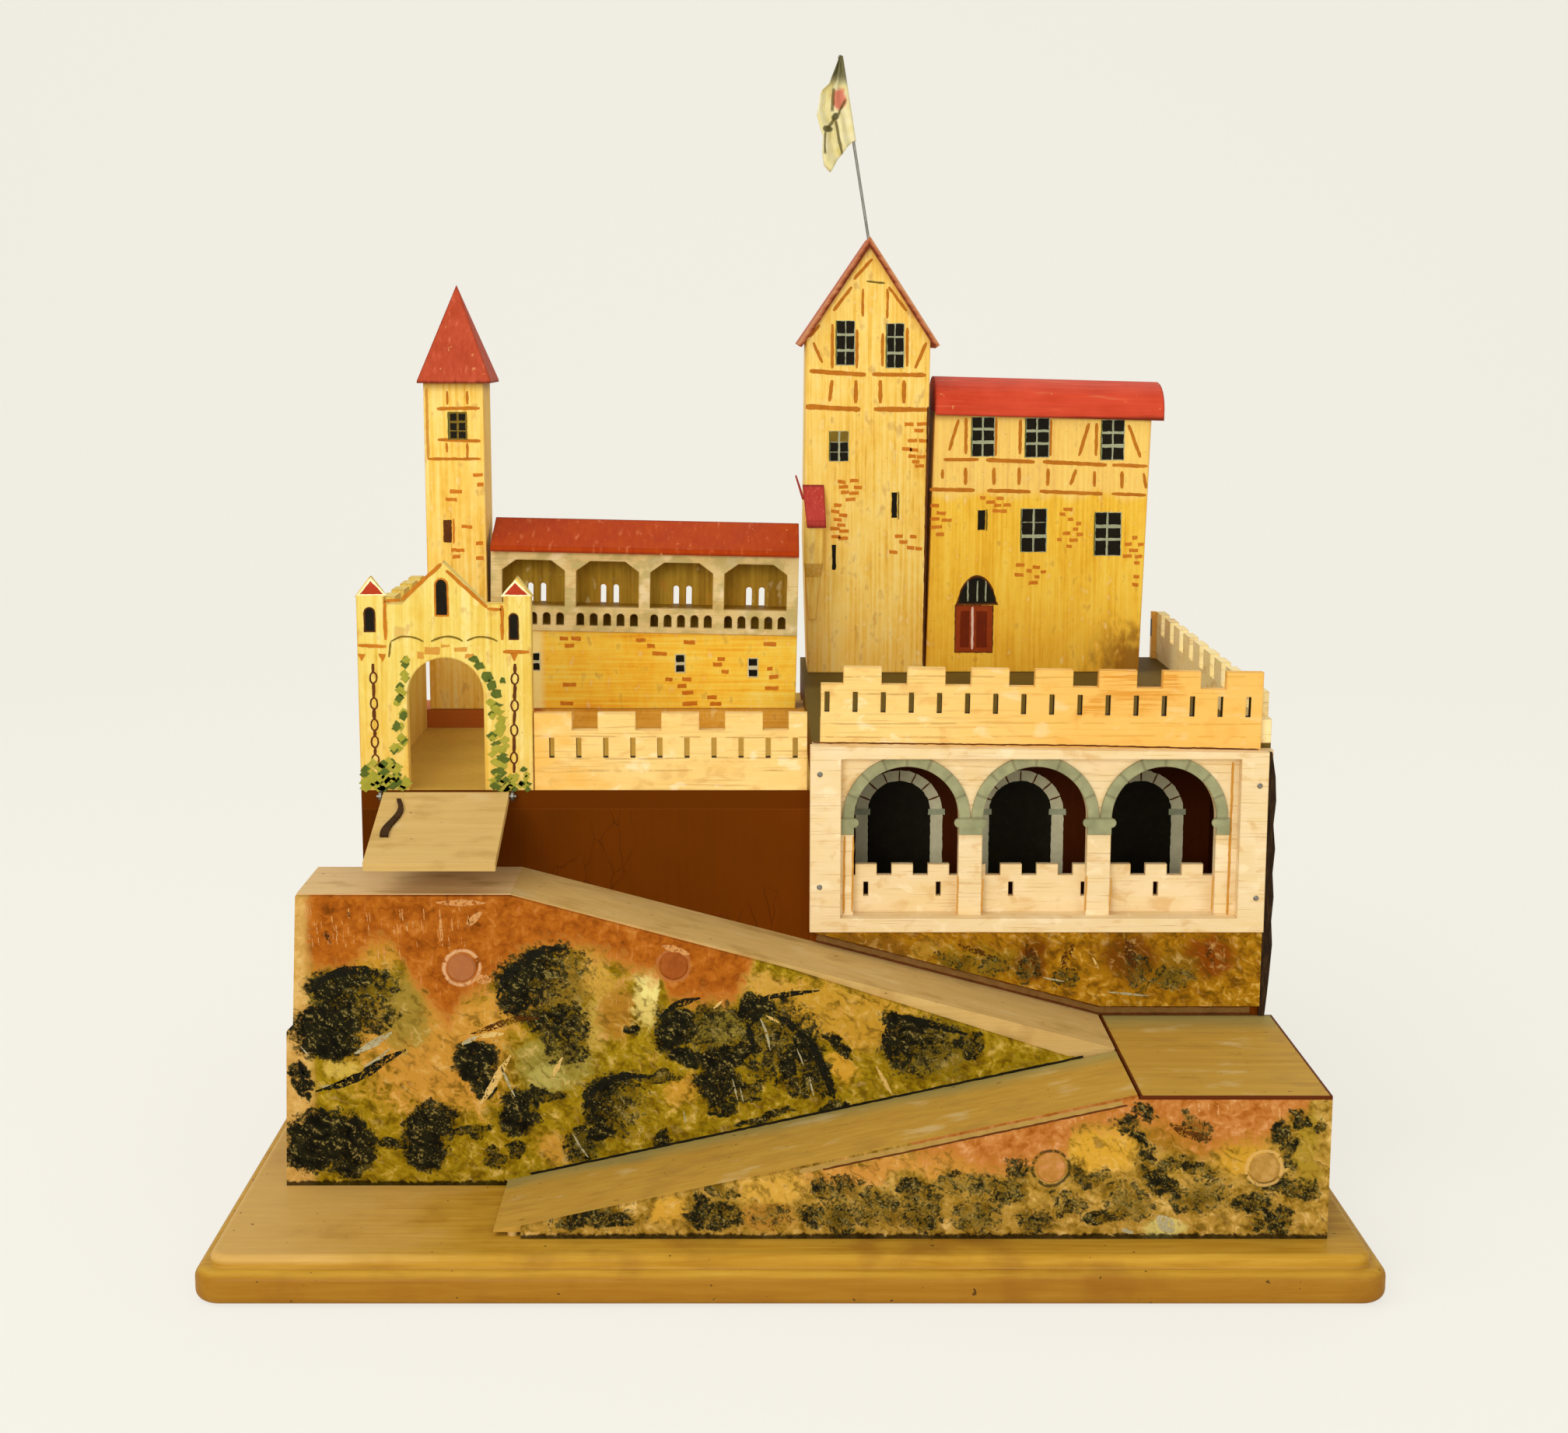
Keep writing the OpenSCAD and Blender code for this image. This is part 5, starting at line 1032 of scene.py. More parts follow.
left_rock = Painter("left_rock_paint", "castle", "left_rock_face", "rock_paint", 101)
for colour, width, *points in (
        ("night", 3.4, (-213, 110), (-207, 116.5), (-198, 119.8), (-188, 120.5), (-180, 117)),
        ("night", 3.2, (-212, 64), (-200, 67.5), (-190, 72), (-180, 79), (-171, 83.5)),
        ("night", 2.6, (-219, 79), (-217.5, 71), (-214, 66)),
        ("rust", 2.6, (-142, 90.5), (-132, 94), (-121, 98), (-111, 98)),
        ("night", 3.4, (-130, 107), (-126, 117), (-118, 124.5), (-108, 130), (-99, 130)),
        ("night", 2.8, (-92, 53), (-89, 62), (-82, 69), (-72, 71.5), (-60, 71)),
        ("night", 2.0, (-22, 99), (-17, 104), (-8, 108), (3, 109.5), (14, 111)),
        ("night", 2.6, (-7, 100.5), (0, 96), (7, 88)),
        ("night", 3.2, (9, 89), (14, 79), (18, 69), (21, 60)),
        ("night", 2.0, (-19, 98), (-17, 91), (-15, 83)),
        ("night", 2.6, (47, 100), (56, 97.5), (68, 94), (80, 90.5)),
        ("night", 3.0, (45.5, 97), (43.5, 88), (46.5, 78)),
        ("night", 2.4, (-57, 99), (-50, 104.5), (-39, 107.5)),
        ("chalk", 4.4, (-194, 81.5), (-186, 86), (-177, 91.5)),
        ("chalk", 2.2, (-190, 75.5), (-184, 79), (-178, 84)),
        ("chalk", 1.6, (-211, 66), (-203, 67), (-196, 71)),
        ("chalk", 1.2, (-218, 85), (-214.5, 80.5)), ("chalk", 1.1, (-218.5, 76), (-216, 69.5)),
        ("chalk", 3.2, (-146, 86), (-139, 89.5)), ("sand", 3.4, (-139, 89.5), (-127, 91)),
        ("chalk", 1.8, (-128.5, 76), (-126, 69), (-122.5, 61.5)),
        ("sand", 4.6, (-138, 58), (-133, 66), (-128, 75), (-124, 81)),
        ("chalk", 1.4, (-97, 44.5), (-93.5, 38), (-90, 33)),
        ("chalk", 1.6, (-12.5, 98), (-9.5, 91), (-8, 83)), ("sand", 1.8, (-10, 99.5), (-4, 96)),
        ("chalk", 1.0, (-25, 70), (-22.5, 60)), ("chalk", 1.0, (-21.5, 66), (-20, 59)),
        ("sand", 2.4, (39.5, 76), (43, 69), (46.8, 62.5)), ("sand", 1.6, (-33.5, 102.5), (-28.5, 107)),
        ("chalk", 1.3, (9.5, 71), (11.5, 62)), ("chalk", 1.0, (4, 84), (7, 76)),
        ("sand", 3.0, (-106, 70), (-101, 80)), ("chalk", 1.2, (-47, 55), (-46, 49)),
        ("drip", 2.2, (-156, 151), (-134, 151)), ("drip", 2.8, (-143, 140), (-136, 147)),
        ("drip", 1.0, (-154.5, 148), (-153.5, 131)), ("drip", 2.6, (-56, 131.5), (-44, 127.5)),
        ("drip", 3.4, (-140, 116.5), (-132, 115.5))):
    pale = colour in ("chalk", "sand")
    left_rock.stroke(colour, points, width * (0.75 if pale else 1.3), swell=True)
for k in range(54):
    x = left_rock.hand.choice((-207, -198, -150, -175)) + left_rock.hand.gauss(0, 7)
    z = left_rock.hand.uniform(128, 149)
    left_rock.stroke("drip", [(x, z), (x + 0.3, z - left_rock.hand.uniform(1.5, 6))],
                     left_rock.hand.uniform(0.3, 0.7))
left_rock.stroke("rust", [(-205.5, 138), (-204, 134)], 2.2)
# Painted shadow: a thin black line where the rock meets the lower ramp's back edge.
left_rock.stroke("black", beside_ramp(51.0, -116, 140), 1.1, taper=False)
left_rock.hang(PAINTS)

# %% [markdown]
# The lower rock has few strokes. Along its upper rim the ramp's edge shows as a pale line, with a dark
# one under it, a painted shadow. They follow the ramp's slope, so both come from one helper.

# %% Draw on the lower ramp's rock
right_rock = Painter("right_rock_paint", "castle", "right_rock_face", "rock_paint", 103)
right_rock.stroke("edge", beside_ramp(48.9, 4, 147), 2.2)
# Painted shadow: a dark line under the ramp's edge.
right_rock.stroke("line", beside_ramp(47.6, 14, 147), 0.8, 2, taper=False)
for x, z0, z1 in ((120, 74, 71), (123, 75, 72), (172, 80, 76), (176, 80, 77), (180, 79, 74),
                  (184, 79, 77), (206, 78, 73), (200, 80, 78), (112, 71, 70), (190, 80, 78.5)):
    right_rock.stroke("drip", [(x, z0), (x + 0.4, z1)], right_rock.hand.uniform(0.6, 1.4))
right_rock.stroke("rust", [(160, 71), (168, 66), (178, 64)], 4, swell=True)
right_rock.stroke("chalk", [(156, 30), (163, 23)], 7, swell=True)
right_rock.stroke("chalk", [(141, 24), (146, 22.5)], 2)
right_rock.hang(PAINTS)

# %% [markdown]
# The rock under the arcade has a few soft strokes. At its foot a strip of raw wood runs between two
# dark lines, along the ramp and then level over the landing. A bent strip of mesh could do that, and
# a stroke with the same points does it in one line.

# %% Draw under the arcade
panel = Painter("upper_rock_paint", "castle", "bastion_rock_panel", "rock_paint", 109)
for colour, width, *points in (
        ("rust", 4, (134, 118), (128, 106)), ("sand", 1.2, (143, 112), (146, 106)),
        ("chalk", 0.9, (120, 102), (130, 100)), ("chalk", 1.1, (150, 95), (170, 93)),
        ("rust", 5, (112, 118), (118, 104)), ("rust", 6, (158, 121), (163, 106)),
        ("rust", 4, (196, 118), (200, 108)), ("rust", 3, (80, 118), (96, 112))):
    panel.stroke(colour, points, width, swell=True)
panel.hang(PAINTS)

LANDING_TOP, LANDING_EDGE = 83, 147.4
foot_strip = Painter("foot_strip_paint", "castle", "bastion_front_wall", "rock_paint", 107)
for colour, lift, width in (("raw", 2.4, 2.8), ("line", 4.7, 1.3), ("line", 0.6, 1.0)):
    sloping = [(x, LANDING_TOP + (LANDING_EDGE - x) * 0.264 + lift) for x in range(14, 146, 6)]
    level = [(x, LANDING_TOP + lift) for x in (147, *range(154, 222, 8))]
    foot_strip.stroke(colour, sloping + level, width, 1 if colour == "raw" else 3, taper=False)
foot_strip.hang(PAINTS)

# %% [markdown]
# ## Windows, and the tower's paint
# Every large window is a block of two columns of small black panes, with pale grey-green bars between
# them. The bars could be drawn one by one. Here the block is laid first in their tone, and the panes
# over it, so that thin even bars are what is left. The tower has one small window between two beams,
# a narrow slit, and loose bricks down the post.

# %% Paint the tower
def window(board, columns, rows, frame_colour="bar", border=0.9, pane_colours=("black",)):
    """A block with panes in columns from left to right and rows from the top down."""
    x0, x1 = columns[0][0] - border, columns[-1][1] + border
    z0, z1 = rows[-1][0] - border, rows[0][1] + border
    board.pane(frame_colour, x0, x1, z0, z1, 2)
    board.stroke("green", [(x0, z0), (x0, z1)], 0.7, 3)
    for k, (low, high) in enumerate(rows):
        for left, right in columns:
            board.pane(pane_colours[k % len(pane_colours)], left - 0.45, right + 0.45, low - 0.55,
                       high + 0.55, 4)


tower = Painter("tower_paint", "tower", "tower_post", "yellow_paint", 11)
tower.beams((-182, 360.8, -159.5, 361.2, 1.8), (-182, 344.7, -159.5, 344, 1.8),
            (-187.5, 334.6, -159.5, 334.6, 1.5), (-177.3, 343, -177.3, 338, 1.4),
            (-166.5, 343, -166.5, 335, 1.4), (-176.5, 370, -176.5, 363, 1.4),
            (-166, 370, -166, 363, 1.4))
tower.stroke("stain", [(-187.4, 372), (-187.2, 335)], 1.6)
window(tower, ((-174.8, -172.2), (-170.3, -167.7)),
       ((355.2, 357.8), (350.2, 352.8), (345.9, 348.3)), "olive", 1.4)
tower.pane("line", -180, -175.6, 290.5, 302.5)
tower.stroke("brick", [(-174.6, 290), (-174.6, 303)], 1.0, 3)
tower.bricks((-173, 317.5, 6.5), (-175.5, 313.3, 6), (-167.5, 299, 5.5), (-172.5, 286.5, 7),
             (-173.5, 282.8, 4), (-161.2, 326, 5), (-160, 321, 3.5), (-161, 290, 4), (-161, 282, 4),
             (-170, 262, 5), (-175, 258.5, 5), (-166, 256, 5), (-181, 240, 5), (-176, 236.5, 6))
tower.hang(PAINTS)

# %% [markdown]
# ## The keep's paint
# The keep has timber framing: beams across, short posts between them, slanting braces under the
# gable, two large windows above and a small one below, slits, and three loose groups of bricks. Real
# framing would be strips let into the wall. The toy's is one brush stroke per beam, and so it is
# here, with the bricks' widths left to chance.

# %% Paint the keep
keep = Painter("keep_paint", "keep", "keep_gables", "yellow_paint", 23)
window(keep, ((30.5, 34), (35.5, 39)), ((400.5, 406), (392, 398), (383.5, 389.5)))
window(keep, ((58, 61), (62.5, 66)), ((399, 404.5), (390.5, 397), (382, 388)))
window(keep, ((27, 30.5), (32.5, 36)), ((341.5, 346), (336, 340), (331, 334.5)), "bar", 0.8,
       ("olive", "black", "black"))
keep.beams(
    (15, 379.5, 46, 377.5, 2.4), (49.5, 377.8, 79, 377.3, 2.3), (13, 360.2, 43, 358.6, 2.8),
    (50.5, 358.8, 80, 358.5, 2.6), (27.5, 374.5, 26, 363, 2.2), (40.5, 374.5, 40.5, 362, 2.2),
    (54, 374.5, 54, 362, 2.2), (67, 374.5, 67, 362, 2.2), (27.5, 381, 27.5, 405, 1.7),
    (41, 381, 41, 402, 1.7), (55, 382, 55, 400, 1.7), (68.5, 382, 68.5, 403, 1.7),
    (49, 440, 39, 429, 1.8), (38, 425, 28, 412, 1.8), (20.5, 404.5, 15, 398, 1.8),
    (17, 395, 22, 384, 1.8), (79, 395, 73, 381, 1.8), (44, 409, 44, 424, 1.4),
    (57.5, 408, 57.5, 424, 1.4), (58, 425, 68, 412, 1.6))
keep.stroke("olive", [(46, 428), (56, 427)], 1.2)
keep.stroke("black", [(62.3, 299), (62.3, 313)], 3.0, taper=False)
keep.stroke("black", [(29, 270), (29, 284)], 2.2, taper=False)
keep.stroke("olive", [(64.6, 298), (64.6, 313.5)], 0.8)
# Painted shade: a dark line down the keep's right edge, in the gap to the hall.
keep.stroke("line", [(80.3, 360), (79.3, 216)], 1.2)
for x, z in (
        (33, 319), (40, 319.5), (34, 316), (42, 316), (35, 313), (40, 312.5), (38, 309), (31, 306),
        (29.5, 302.5), (34, 300.5), (31, 298), (33, 295), (34.5, 291.5), (29.5, 293), (30, 288.5),
        (34, 287.5), (70, 350.5), (77, 350.5), (75.5, 347), (72, 341.5), (78, 341.5), (69, 337),
        (73, 336.5), (72, 333), (77, 332.5), (74, 330), (76, 327.5), (65, 288.7), (73, 288.7),
        (67.5, 285.5), (71.5, 282.5), (76, 282), (62, 280)):
    keep.brick("brick", x, z, keep.hand.uniform(3.8, 5.6))
keep.hang(PAINTS)

# %% [markdown]
# ## The hall's paint
# Three windows in a row stand under the roof and two below, with the same timbers and bricks as on
# the keep, and a brown door under a black arch with pale bars. The door could be cut into the wall,
# but the toy's is flat paint: a dark rim first, brown or black on it, and light lines last.

# %% Paint the hall
hall = Painter("hall_paint", "hall", "hall_walls", "yellow_paint", 31)
window(hall, ((105.8, 110), (112, 116.7)), ((349, 353.5), (342, 346.5), (333.5, 339)))
window(hall, ((135.5, 140), (141.8, 147)), ((348, 353), (341, 345.5), (333, 338.5)))
window(hall, ((177.5, 182), (183.8, 188.5)), ((347, 352), (340, 344.5), (331.5, 337)))
window(hall, ((134, 139), (141, 146.5)), ((297, 303), (290, 295.5), (280.5, 287)))
window(hall, ((175, 180), (182, 188)), ((295.5, 301), (288, 292.5), (278.5, 285.5)))
hall.beams(
    (118.3, 333, 118.3, 354, 1.5), (148.6, 333, 148.6, 353, 1.5), (101.7, 334, 101.7, 354, 1.8),
    (131.7, 334, 131.7, 353, 1.8), (173.8, 333, 173.8, 351, 1.8), (97.5, 353, 92.5, 336, 1.8),
    (169.5, 351, 164.5, 333, 1.8), (191.5, 350, 198.5, 332, 1.8), (113, 330.8, 140, 329.7, 2.2),
    (144.5, 329.7, 180, 328, 2.2), (183, 328, 202.5, 327.3, 2.0), (89, 325.5, 89, 320.5, 1.8),
    (101.8, 326.5, 101.8, 317, 2), (117.5, 326.5, 117.5, 317, 2), (131.5, 326.5, 131.5, 317, 2),
    (147.5, 326, 147.5, 316.5, 2), (163, 325.5, 160, 317, 2), (173.3, 324.5, 173.3, 316, 2),
    (188.5, 324.5, 188.5, 315, 2), (200.5, 323.5, 202, 315, 1.8), (82, 314.5, 107, 314, 2.2),
    (114, 313.8, 138, 313.2, 2.1), (143, 313.4, 178, 312, 2), (183, 312, 202, 311.3, 1.8),
    (89.5, 331, 109, 331, 1.8))
hall.pane("black", 109, 113, 292, 303)
hall.stroke("olive", [(114, 291.5), (114, 303.5)], 0.9, 3)
arch = [(98.5 + 21.3 * k / 12, 251 + 14.5 * math.sin(math.pi * (k / 12)) ** 0.6) for k in range(13)]
arch_rim = [(x * 1.03 - 3.3, z + 1.4) for x, z in arch]
hall.patch("line", [(97.2, 250), *arch_rim, (121.2, 250)], 1)
hall.patch("black", arch, 2)
for x in (104, 109.3, 114):
    hall.stroke("bar", [(x, 252), (x, 263.5)], 0.8, 4)
hall.pane("line", 96.8, 118.5, 223, 249.9, 1)
hall.pane("door", 97.3, 118, 223.5, 249.5, 2)
hall.pane("panel", 100, 105, 226, 246.5, 3)
hall.pane("panel", 109, 115, 226, 246.5, 3)
hall.stroke("pink", [(106.8, 225), (106.8, 249)], 1.4, 4)
hall.bricks(
    (85, 305.5, 5), (88.5, 301.5, 5), (85, 298, 5), (91.5, 297.3, 5.5), (86, 293.5, 6.5),
    (88, 289.5, 4.5), (111.5, 310, 3), (116, 307.3, 5), (121, 309.5, 4), (120, 305.5, 4),
    (125, 306, 4), (121, 302.7, 8), (159, 303.5, 5), (156, 300.8, 3), (160.5, 297.8, 3),
    (165, 295.5, 3), (163.5, 292.5, 3), (158.5, 290, 4), (166, 289.5, 3.5), (154.5, 286.5, 2.5),
    (162.5, 286.3, 4.5), (160, 283, 3), (133, 272.5, 5), (142, 271.3, 4), (132.5, 267, 5),
    (138, 269.3, 3), (146, 268.5, 3), (142.5, 266, 3), (140.5, 262.3, 5), (196.5, 287.5, 3),
    (193, 284, 4), (200, 283.8, 3), (196, 280.5, 5), (192.5, 277.5, 5), (199, 277, 4),
    (198, 273.5, 3), (198, 266, 3), (197.5, 261.5, 3.5))
hall.hang(PAINTS)

# %% [markdown]
# ## The gatehouse's paint
# The gate carries the finest drawing: slit windows in both turrets, an orange gable line, small red
# caps with pale rims, and scallops over the arch. A round head could be drawn as a stroke, but it
# has to be filled, so a slit is one outline with an arc on top, and a scallop is one bent stroke.

# %% Paint the gatehouse
gate = Painter("gate_paint", "castle", "gatehouse", "yellow_paint", 47)


def round_head(middle, half, top, steps):
    """Points over a round head, from its right side to its left."""
    angles = [math.pi * k / steps for k in range(steps + 1)]
    return [(middle + half * math.cos(a), top - half + half * math.sin(a)) for a in angles]


def slit(colour, x0, x1, z0, z1, coat=2):
    head = round_head((x0 + x1) / 2, (x1 - x0) / 2, z1, 6)
    gate.patch(colour, [(x0, z0), (x1, z0), *head], coat, 0.08)


slit("line", -194.2, -188.7, 264.6, 276.3, 1)
slit("black", -193.5, -189.4, 265.3, 275.6)
slit("line", -127.8, -123.0, 261, 273.6, 1)
slit("black", -127.2, -123.6, 261.6, 272.9)
slit("timber", -161.6, -155, 271.8, 289.6, 1)
slit("black", -160.8, -155.8, 272.6, 288.8)
gate.beams((-176.5, 279.5, -158, 296, 1.8), (-155.8, 293, -137.5, 276, 1.8),
           (-184.5, 279, -177, 279.5, 1.4), (-137.5, 275.5, -131, 275, 1.4),
           (-184.3, 261, -184.3, 279, 1.6), (-130.7, 261, -130.7, 277, 1.6),
           (-197, 258.5, -184, 258, 1.6), (-130.5, 255.5, -118.5, 255.5, 1.6))
for x, z in ((-195.5, 252.8), (-186, 252.8), (-125.5, 253)):
    gate.patch("timber", [(x - 1.8, z + 1.8), (x + 1.8, z + 1.8), (x, z - 2)], 1)
for start, peak, end in (((-182, 260.3), (-175, 265), (-167, 260.2)),
                         ((-163.5, 260.3), (-155, 265.1), (-149, 260.3)),
                         ((-147, 260.5), (-140, 264.6), (-133, 260.3))):
    scallop = [tuple((1 - t) ** 2 * a + 2 * t * (1 - t) * b + t * t * c
                     for a, b, c in zip(start, peak, end)) for t in [k / 8 for k in range(9)]]
    gate.stroke("olive", scallop, 0.9)
gate.stroke("olive", [(-182, 260), (-183, 253)], 0.9)
for x, z, w, h in ((-163, 256, 7, 3.5), (-168.5, 254, 3, 3), (-157, 258, 4, 1.2), (-150, 256.5, 6, 2),
                   (-146, 253.5, 4, 2)):
    gate.brick("stain", x, z, w, h)
for left, top, right in (((-197.2, 281.5), (-190.5, 289.8), (-183.2, 281.5)),
                         ((-131.2, 281.2), (-124.5, 288.8), (-117.2, 281.2))):
    gate.patch("rim", [left, top, right], 1)
    gate.patch("red", [(left[0] + 1.6, left[1] + 0.6), (top[0], top[1] - 1.6),
                       (right[0] - 1.6, right[1] + 0.6)], 2)


# %% [markdown]
# ## The painted chains
# On the real toy the drawbridge's chains are only painted, on both sides of the arch. Modelled links
# would be finer than the brush was. Each chain is a row of solid strokes, with a small ring at every
# open link.

# %% Draw the chains
LINK_HALF_WIDTH, LINK_HALF_HEIGHT, LINK_GAP = 1.6, 2.6, 2.4


def chain(path, links):
    ends = [path[0], *links, path[1]]
    for a, b in zip(ends, ends[1:]):
        top, foot = a[1] - (LINK_GAP if a in links else 0), b[1] + (LINK_GAP if b in links else 0)
        gate.stroke("line", [(a[0], top), (b[0], foot)], 1.6)
    for x, z in links:
        ring = [(x + LINK_HALF_WIDTH * math.cos(k * math.pi / 5),
                 z + LINK_HALF_HEIGHT * math.sin(k * math.pi / 5)) for k in range(11)]
        gate.stroke("line", ring, 0.8, 2, taper=False)


chain(((-190.3, 250), (-190.6, 201)),
      [(-190.4, z) for z in (243.5, 231.5, 221.5, 213.5, 205)])
chain(((-125, 250), (-126.4, 199)),
      [(-125.3, 243), (-125.6, 230.5), (-126, 219), (-126.3, 206)])
print("strokes for chains and lines:", len(gate.films["line"]))

# %% [markdown]
# ## Ivy on the gate
# Ivy climbs both sides of the arch and spreads over the foot. Leaves drawn one by one would be many
# lines of numbers, so each patch of ivy is a loop that drops leaves by chance along a stretch, in
# five coats in turn, so that neighbours don't lie in one plane.

# %% Grow the ivy
def leaf(colour, x, z, half, foot, lift, top, coat, sway=0.4):
    """A leaf round a place: its half width, and how far it reaches down, at the side, and up."""
    gate.patch(colour, [(x - half, z), (x, z - foot), (x + half, z + lift), (x, z + top)], coat, sway)


for x, z, w, h in ((-144, 252, 5, 3), (-141.5, 249, 5, 4), (-138, 244, 6, 5), (-136, 240, 5, 5),
                   (-134, 236, 6, 4.5), (-131, 242, 3.5, 3)):
    gate.patch("ivy", [(x - w / 2, z), (x - w / 5, z - h / 2), (x + w / 2, z - h / 4),
                       (x + w / 3, z + h / 2), (x - w / 4, z + h / 2)], 3, 0.4)
for k in range(46):
    x, z = -133.5 + gate.hand.uniform(-3.6, 3.6), 232 - k / 45 * 42
    w, h = gate.hand.uniform(2, 3.8), gate.hand.uniform(1.6, 3)
    colour = "leaf" if gate.hand.random() < 0.68 else "ivy"
    leaf(colour, x, z, w * 0.8, h * 0.8, h / 4, h * 0.8, 3 + k % 5)
for k in range(30):
    x, z = -126 + gate.hand.uniform(-7, 6), 190.6 + abs(gate.hand.gauss(0, 3.6))
    leaf("leaf" if k % 3 else "ivy", x, z, 1.8, 1, 0.6, 2, 3 + k % 5, 0.3)
for x, z in ((-174, 250), (-175, 243), (-177, 238), (-178, 233), (-176.5, 226), (-179, 220),
             (-177, 214), (-180, 210)):
    for k in range(3):
        lx, lz = x + gate.hand.uniform(-2, 0.6), z + gate.hand.uniform(-2.4, 2.4)
        colour = "leaf" if gate.hand.random() < 0.6 else "ivy"
        leaf(colour, lx, lz, 2.2, 1.8, 0.6, 2.4, 3 + k)
for k in range(44):
    x = -186 + gate.hand.uniform(-10.5, 10)
    z = 191 + abs(gate.hand.gauss(0, 6.5)) * (1.3 if abs(x + 181) < 4 else 0.8)
    leaf("ivy" if k % 4 == 0 else "leaf", x, z, 2.6, 1.6, 0.8, 3, 3 + k % 5)
gate.hang(PAINTS)

# %% [markdown]
# ## The gallery wall's paint
# Under the gallery the wall carries three small windows, each two black squares with a grey bar
# between, and loose bricks, some of them in groups. The squares are panes over a grey block, as on
# the large windows, and differ in height, so they are written out here.

# %% Paint the gallery wall
gallery = Painter("gallery_paint", "gallery", "gallery_wall", "yellow_paint", 59)
for x, high, low in ((-55, 228, 223), (-16, 226, 220.5), (-132.5, 229, 224)):
    gallery.pane("stone", x - 2.8, x + 2.8, low - 2.6, high + 2.6, 2)
    gallery.pane("black", x - 2.2, x + 2.2, high - 1.8, high + 2, 4)
    gallery.pane("black", x - 2.2, x + 2.2, low - 2, low + 1.6, 4)
gallery.bricks(
    (-76, 238, 5), (-70.5, 235, 4), (-66, 231, 8), (-50, 237, 6), (-35, 225, 5), (-33, 228, 4),
    (-31, 221, 4), (-61, 217, 4), (-54, 213, 5), (-51, 209.5, 6), (-51.5, 217, 5), (-7, 236, 7),
    (-5, 218, 5), (-6, 212, 7), (-36, 203.5, 6), (-38, 207, 5), (-7, 222.5, 3), (-114.5, 214, 7),
    (-117, 239, 4.5), (-110.5, 239, 5), (-114, 235, 5), (-116, 204, 7), (-50, 203.5, 8), height=2.1)
gallery.hang(PAINTS)

# %% [markdown]
# ## Painted arches behind the real ones
# The room's back wall repeats the arcade in paint: three black openings in grey stone bands. Seen
# through the real arches, they make the room look deeper than it is. Openings could be cut, but
# there is only a board, so they are painted: band, opening over it, capitals, and joints that run
# out from the arch's centre.

# %% Paint the room's back wall
ROOM_FLOOR, OPENING_TOP, BAND_TOP = 131.6, 182.6, 187.8
OPENING_HALF, BAND_HALF, CAPITAL_HALF = 15.4, 21.4, 4.2
room = Painter("room_paint", "castle", "room_back", "brown_paint", 71)


def arch_outline(middle, half, top):
    """Up from the right foot, over a round head, and down to the left foot."""
    return [(middle + half, ROOM_FLOOR), *round_head(middle, half, top, 14),
            (middle - half, ROOM_FLOOR)]


for middle in (56.2, 115.9, 175.0):
    room.patch("stone", arch_outline(middle, BAND_HALF, BAND_TOP), 1)
    room.patch("black", arch_outline(middle, OPENING_HALF, OPENING_TOP), 3)
    for side in (-1, 1):
        capital = middle + side * (OPENING_HALF + BAND_HALF) / 2
        room.pane("bar", capital - CAPITAL_HALF, capital + CAPITAL_HALF, 165.5, 168.5, 4)
    for k in range(1, 8):
        across, up = math.cos(math.pi * k / 8), math.sin(math.pi * k / 8)
        room.stroke("line", [(middle + OPENING_HALF * across, 167 + OPENING_HALF * up),
                             (middle + 21.2 * across, 167 + 20.6 * up)], 0.8, 5)
room.hang(PAINTS)

# %% [markdown]
# The arched screen itself has a thin dark line near its top edge, painted shadow under the parapet's
# edge, and faint brown strokes down its posts, the outer ones painted shade in the grooves beside the
# frame. Noise would spread such marks everywhere, and they sit on the posts only, so they are eight
# faint strokes.

# %% Draw on the arcade's screen
arcade = Painter("arcade_paint", "castle", "arcade_screen", "cream_paint", 83)
# Painted shadow: a thin dark line under the parapet's edge.
arcade.stroke("line", [(12, 213.2), (130, 211.9), (218, 210)], 0.7)
for x, z0, z1, w in ((26.5, 132, 169, 1.0), (30.5, 133, 169, 0.8), (79.5, 132, 150, 0.7),
                     (91, 132, 149, 0.7), (139.5, 133, 150, 0.7), (151, 133, 149, 0.6),
                     (198.5, 133, 150, 0.7), (206, 131, 204, 1.1)):
    arcade.stroke("stain", [(x, z0), (x + 0.4, z1)], w)
arcade.hang(PAINTS)

# %% [markdown]
# ## The flag
# A scrap of printed cloth hangs from the leaning wire, crumpled and folded on itself. A cloth
# simulation would fold it at random, so the sheet is given its shape: a grid from the hem on the
# pole to the free end, drooping more the further out it goes, with folds that deepen toward the
# foot. Its cut size is measured on the grid. Thickness comes last.

# %% The flag's shape
POLE_FOOT = Vector((47.69, 167.0, 452.17))
POLE_AXIS = Vector((-0.163326, 0, 0.986572))
POLE_SIDE = Vector((0.986572, 0, 0.163326))
HEM_TOP, HEM_LENGTH, HEM_RADIUS, HEM_SHARE = 98.4, 46, 1.4, 0.2
LEFT_EDGE = [(0.0, 31.4, 549), (0.12, 28.8, 541), (0.26, 26.0, 534), (0.38, 21.0, 530.5),
             (0.5, 18.4, 518), (0.6, 20.4, 511), (0.7, 22.4, 507), (0.8, 22.2, 499),
             (0.9, 23.4, 491), (1.0, 26.6, 487)]


def free_end(v):
    """Where the outer edge hangs, read between the points of its outline."""
    for (low, *first), (high, *second) in zip(LEFT_EDGE, LEFT_EDGE[1:]):
        if v <= high:
            return [a + (b - a) * (v - low) / (high - low) for a, b in zip(first, second)]
    return LEFT_EDGE[-1][1:]


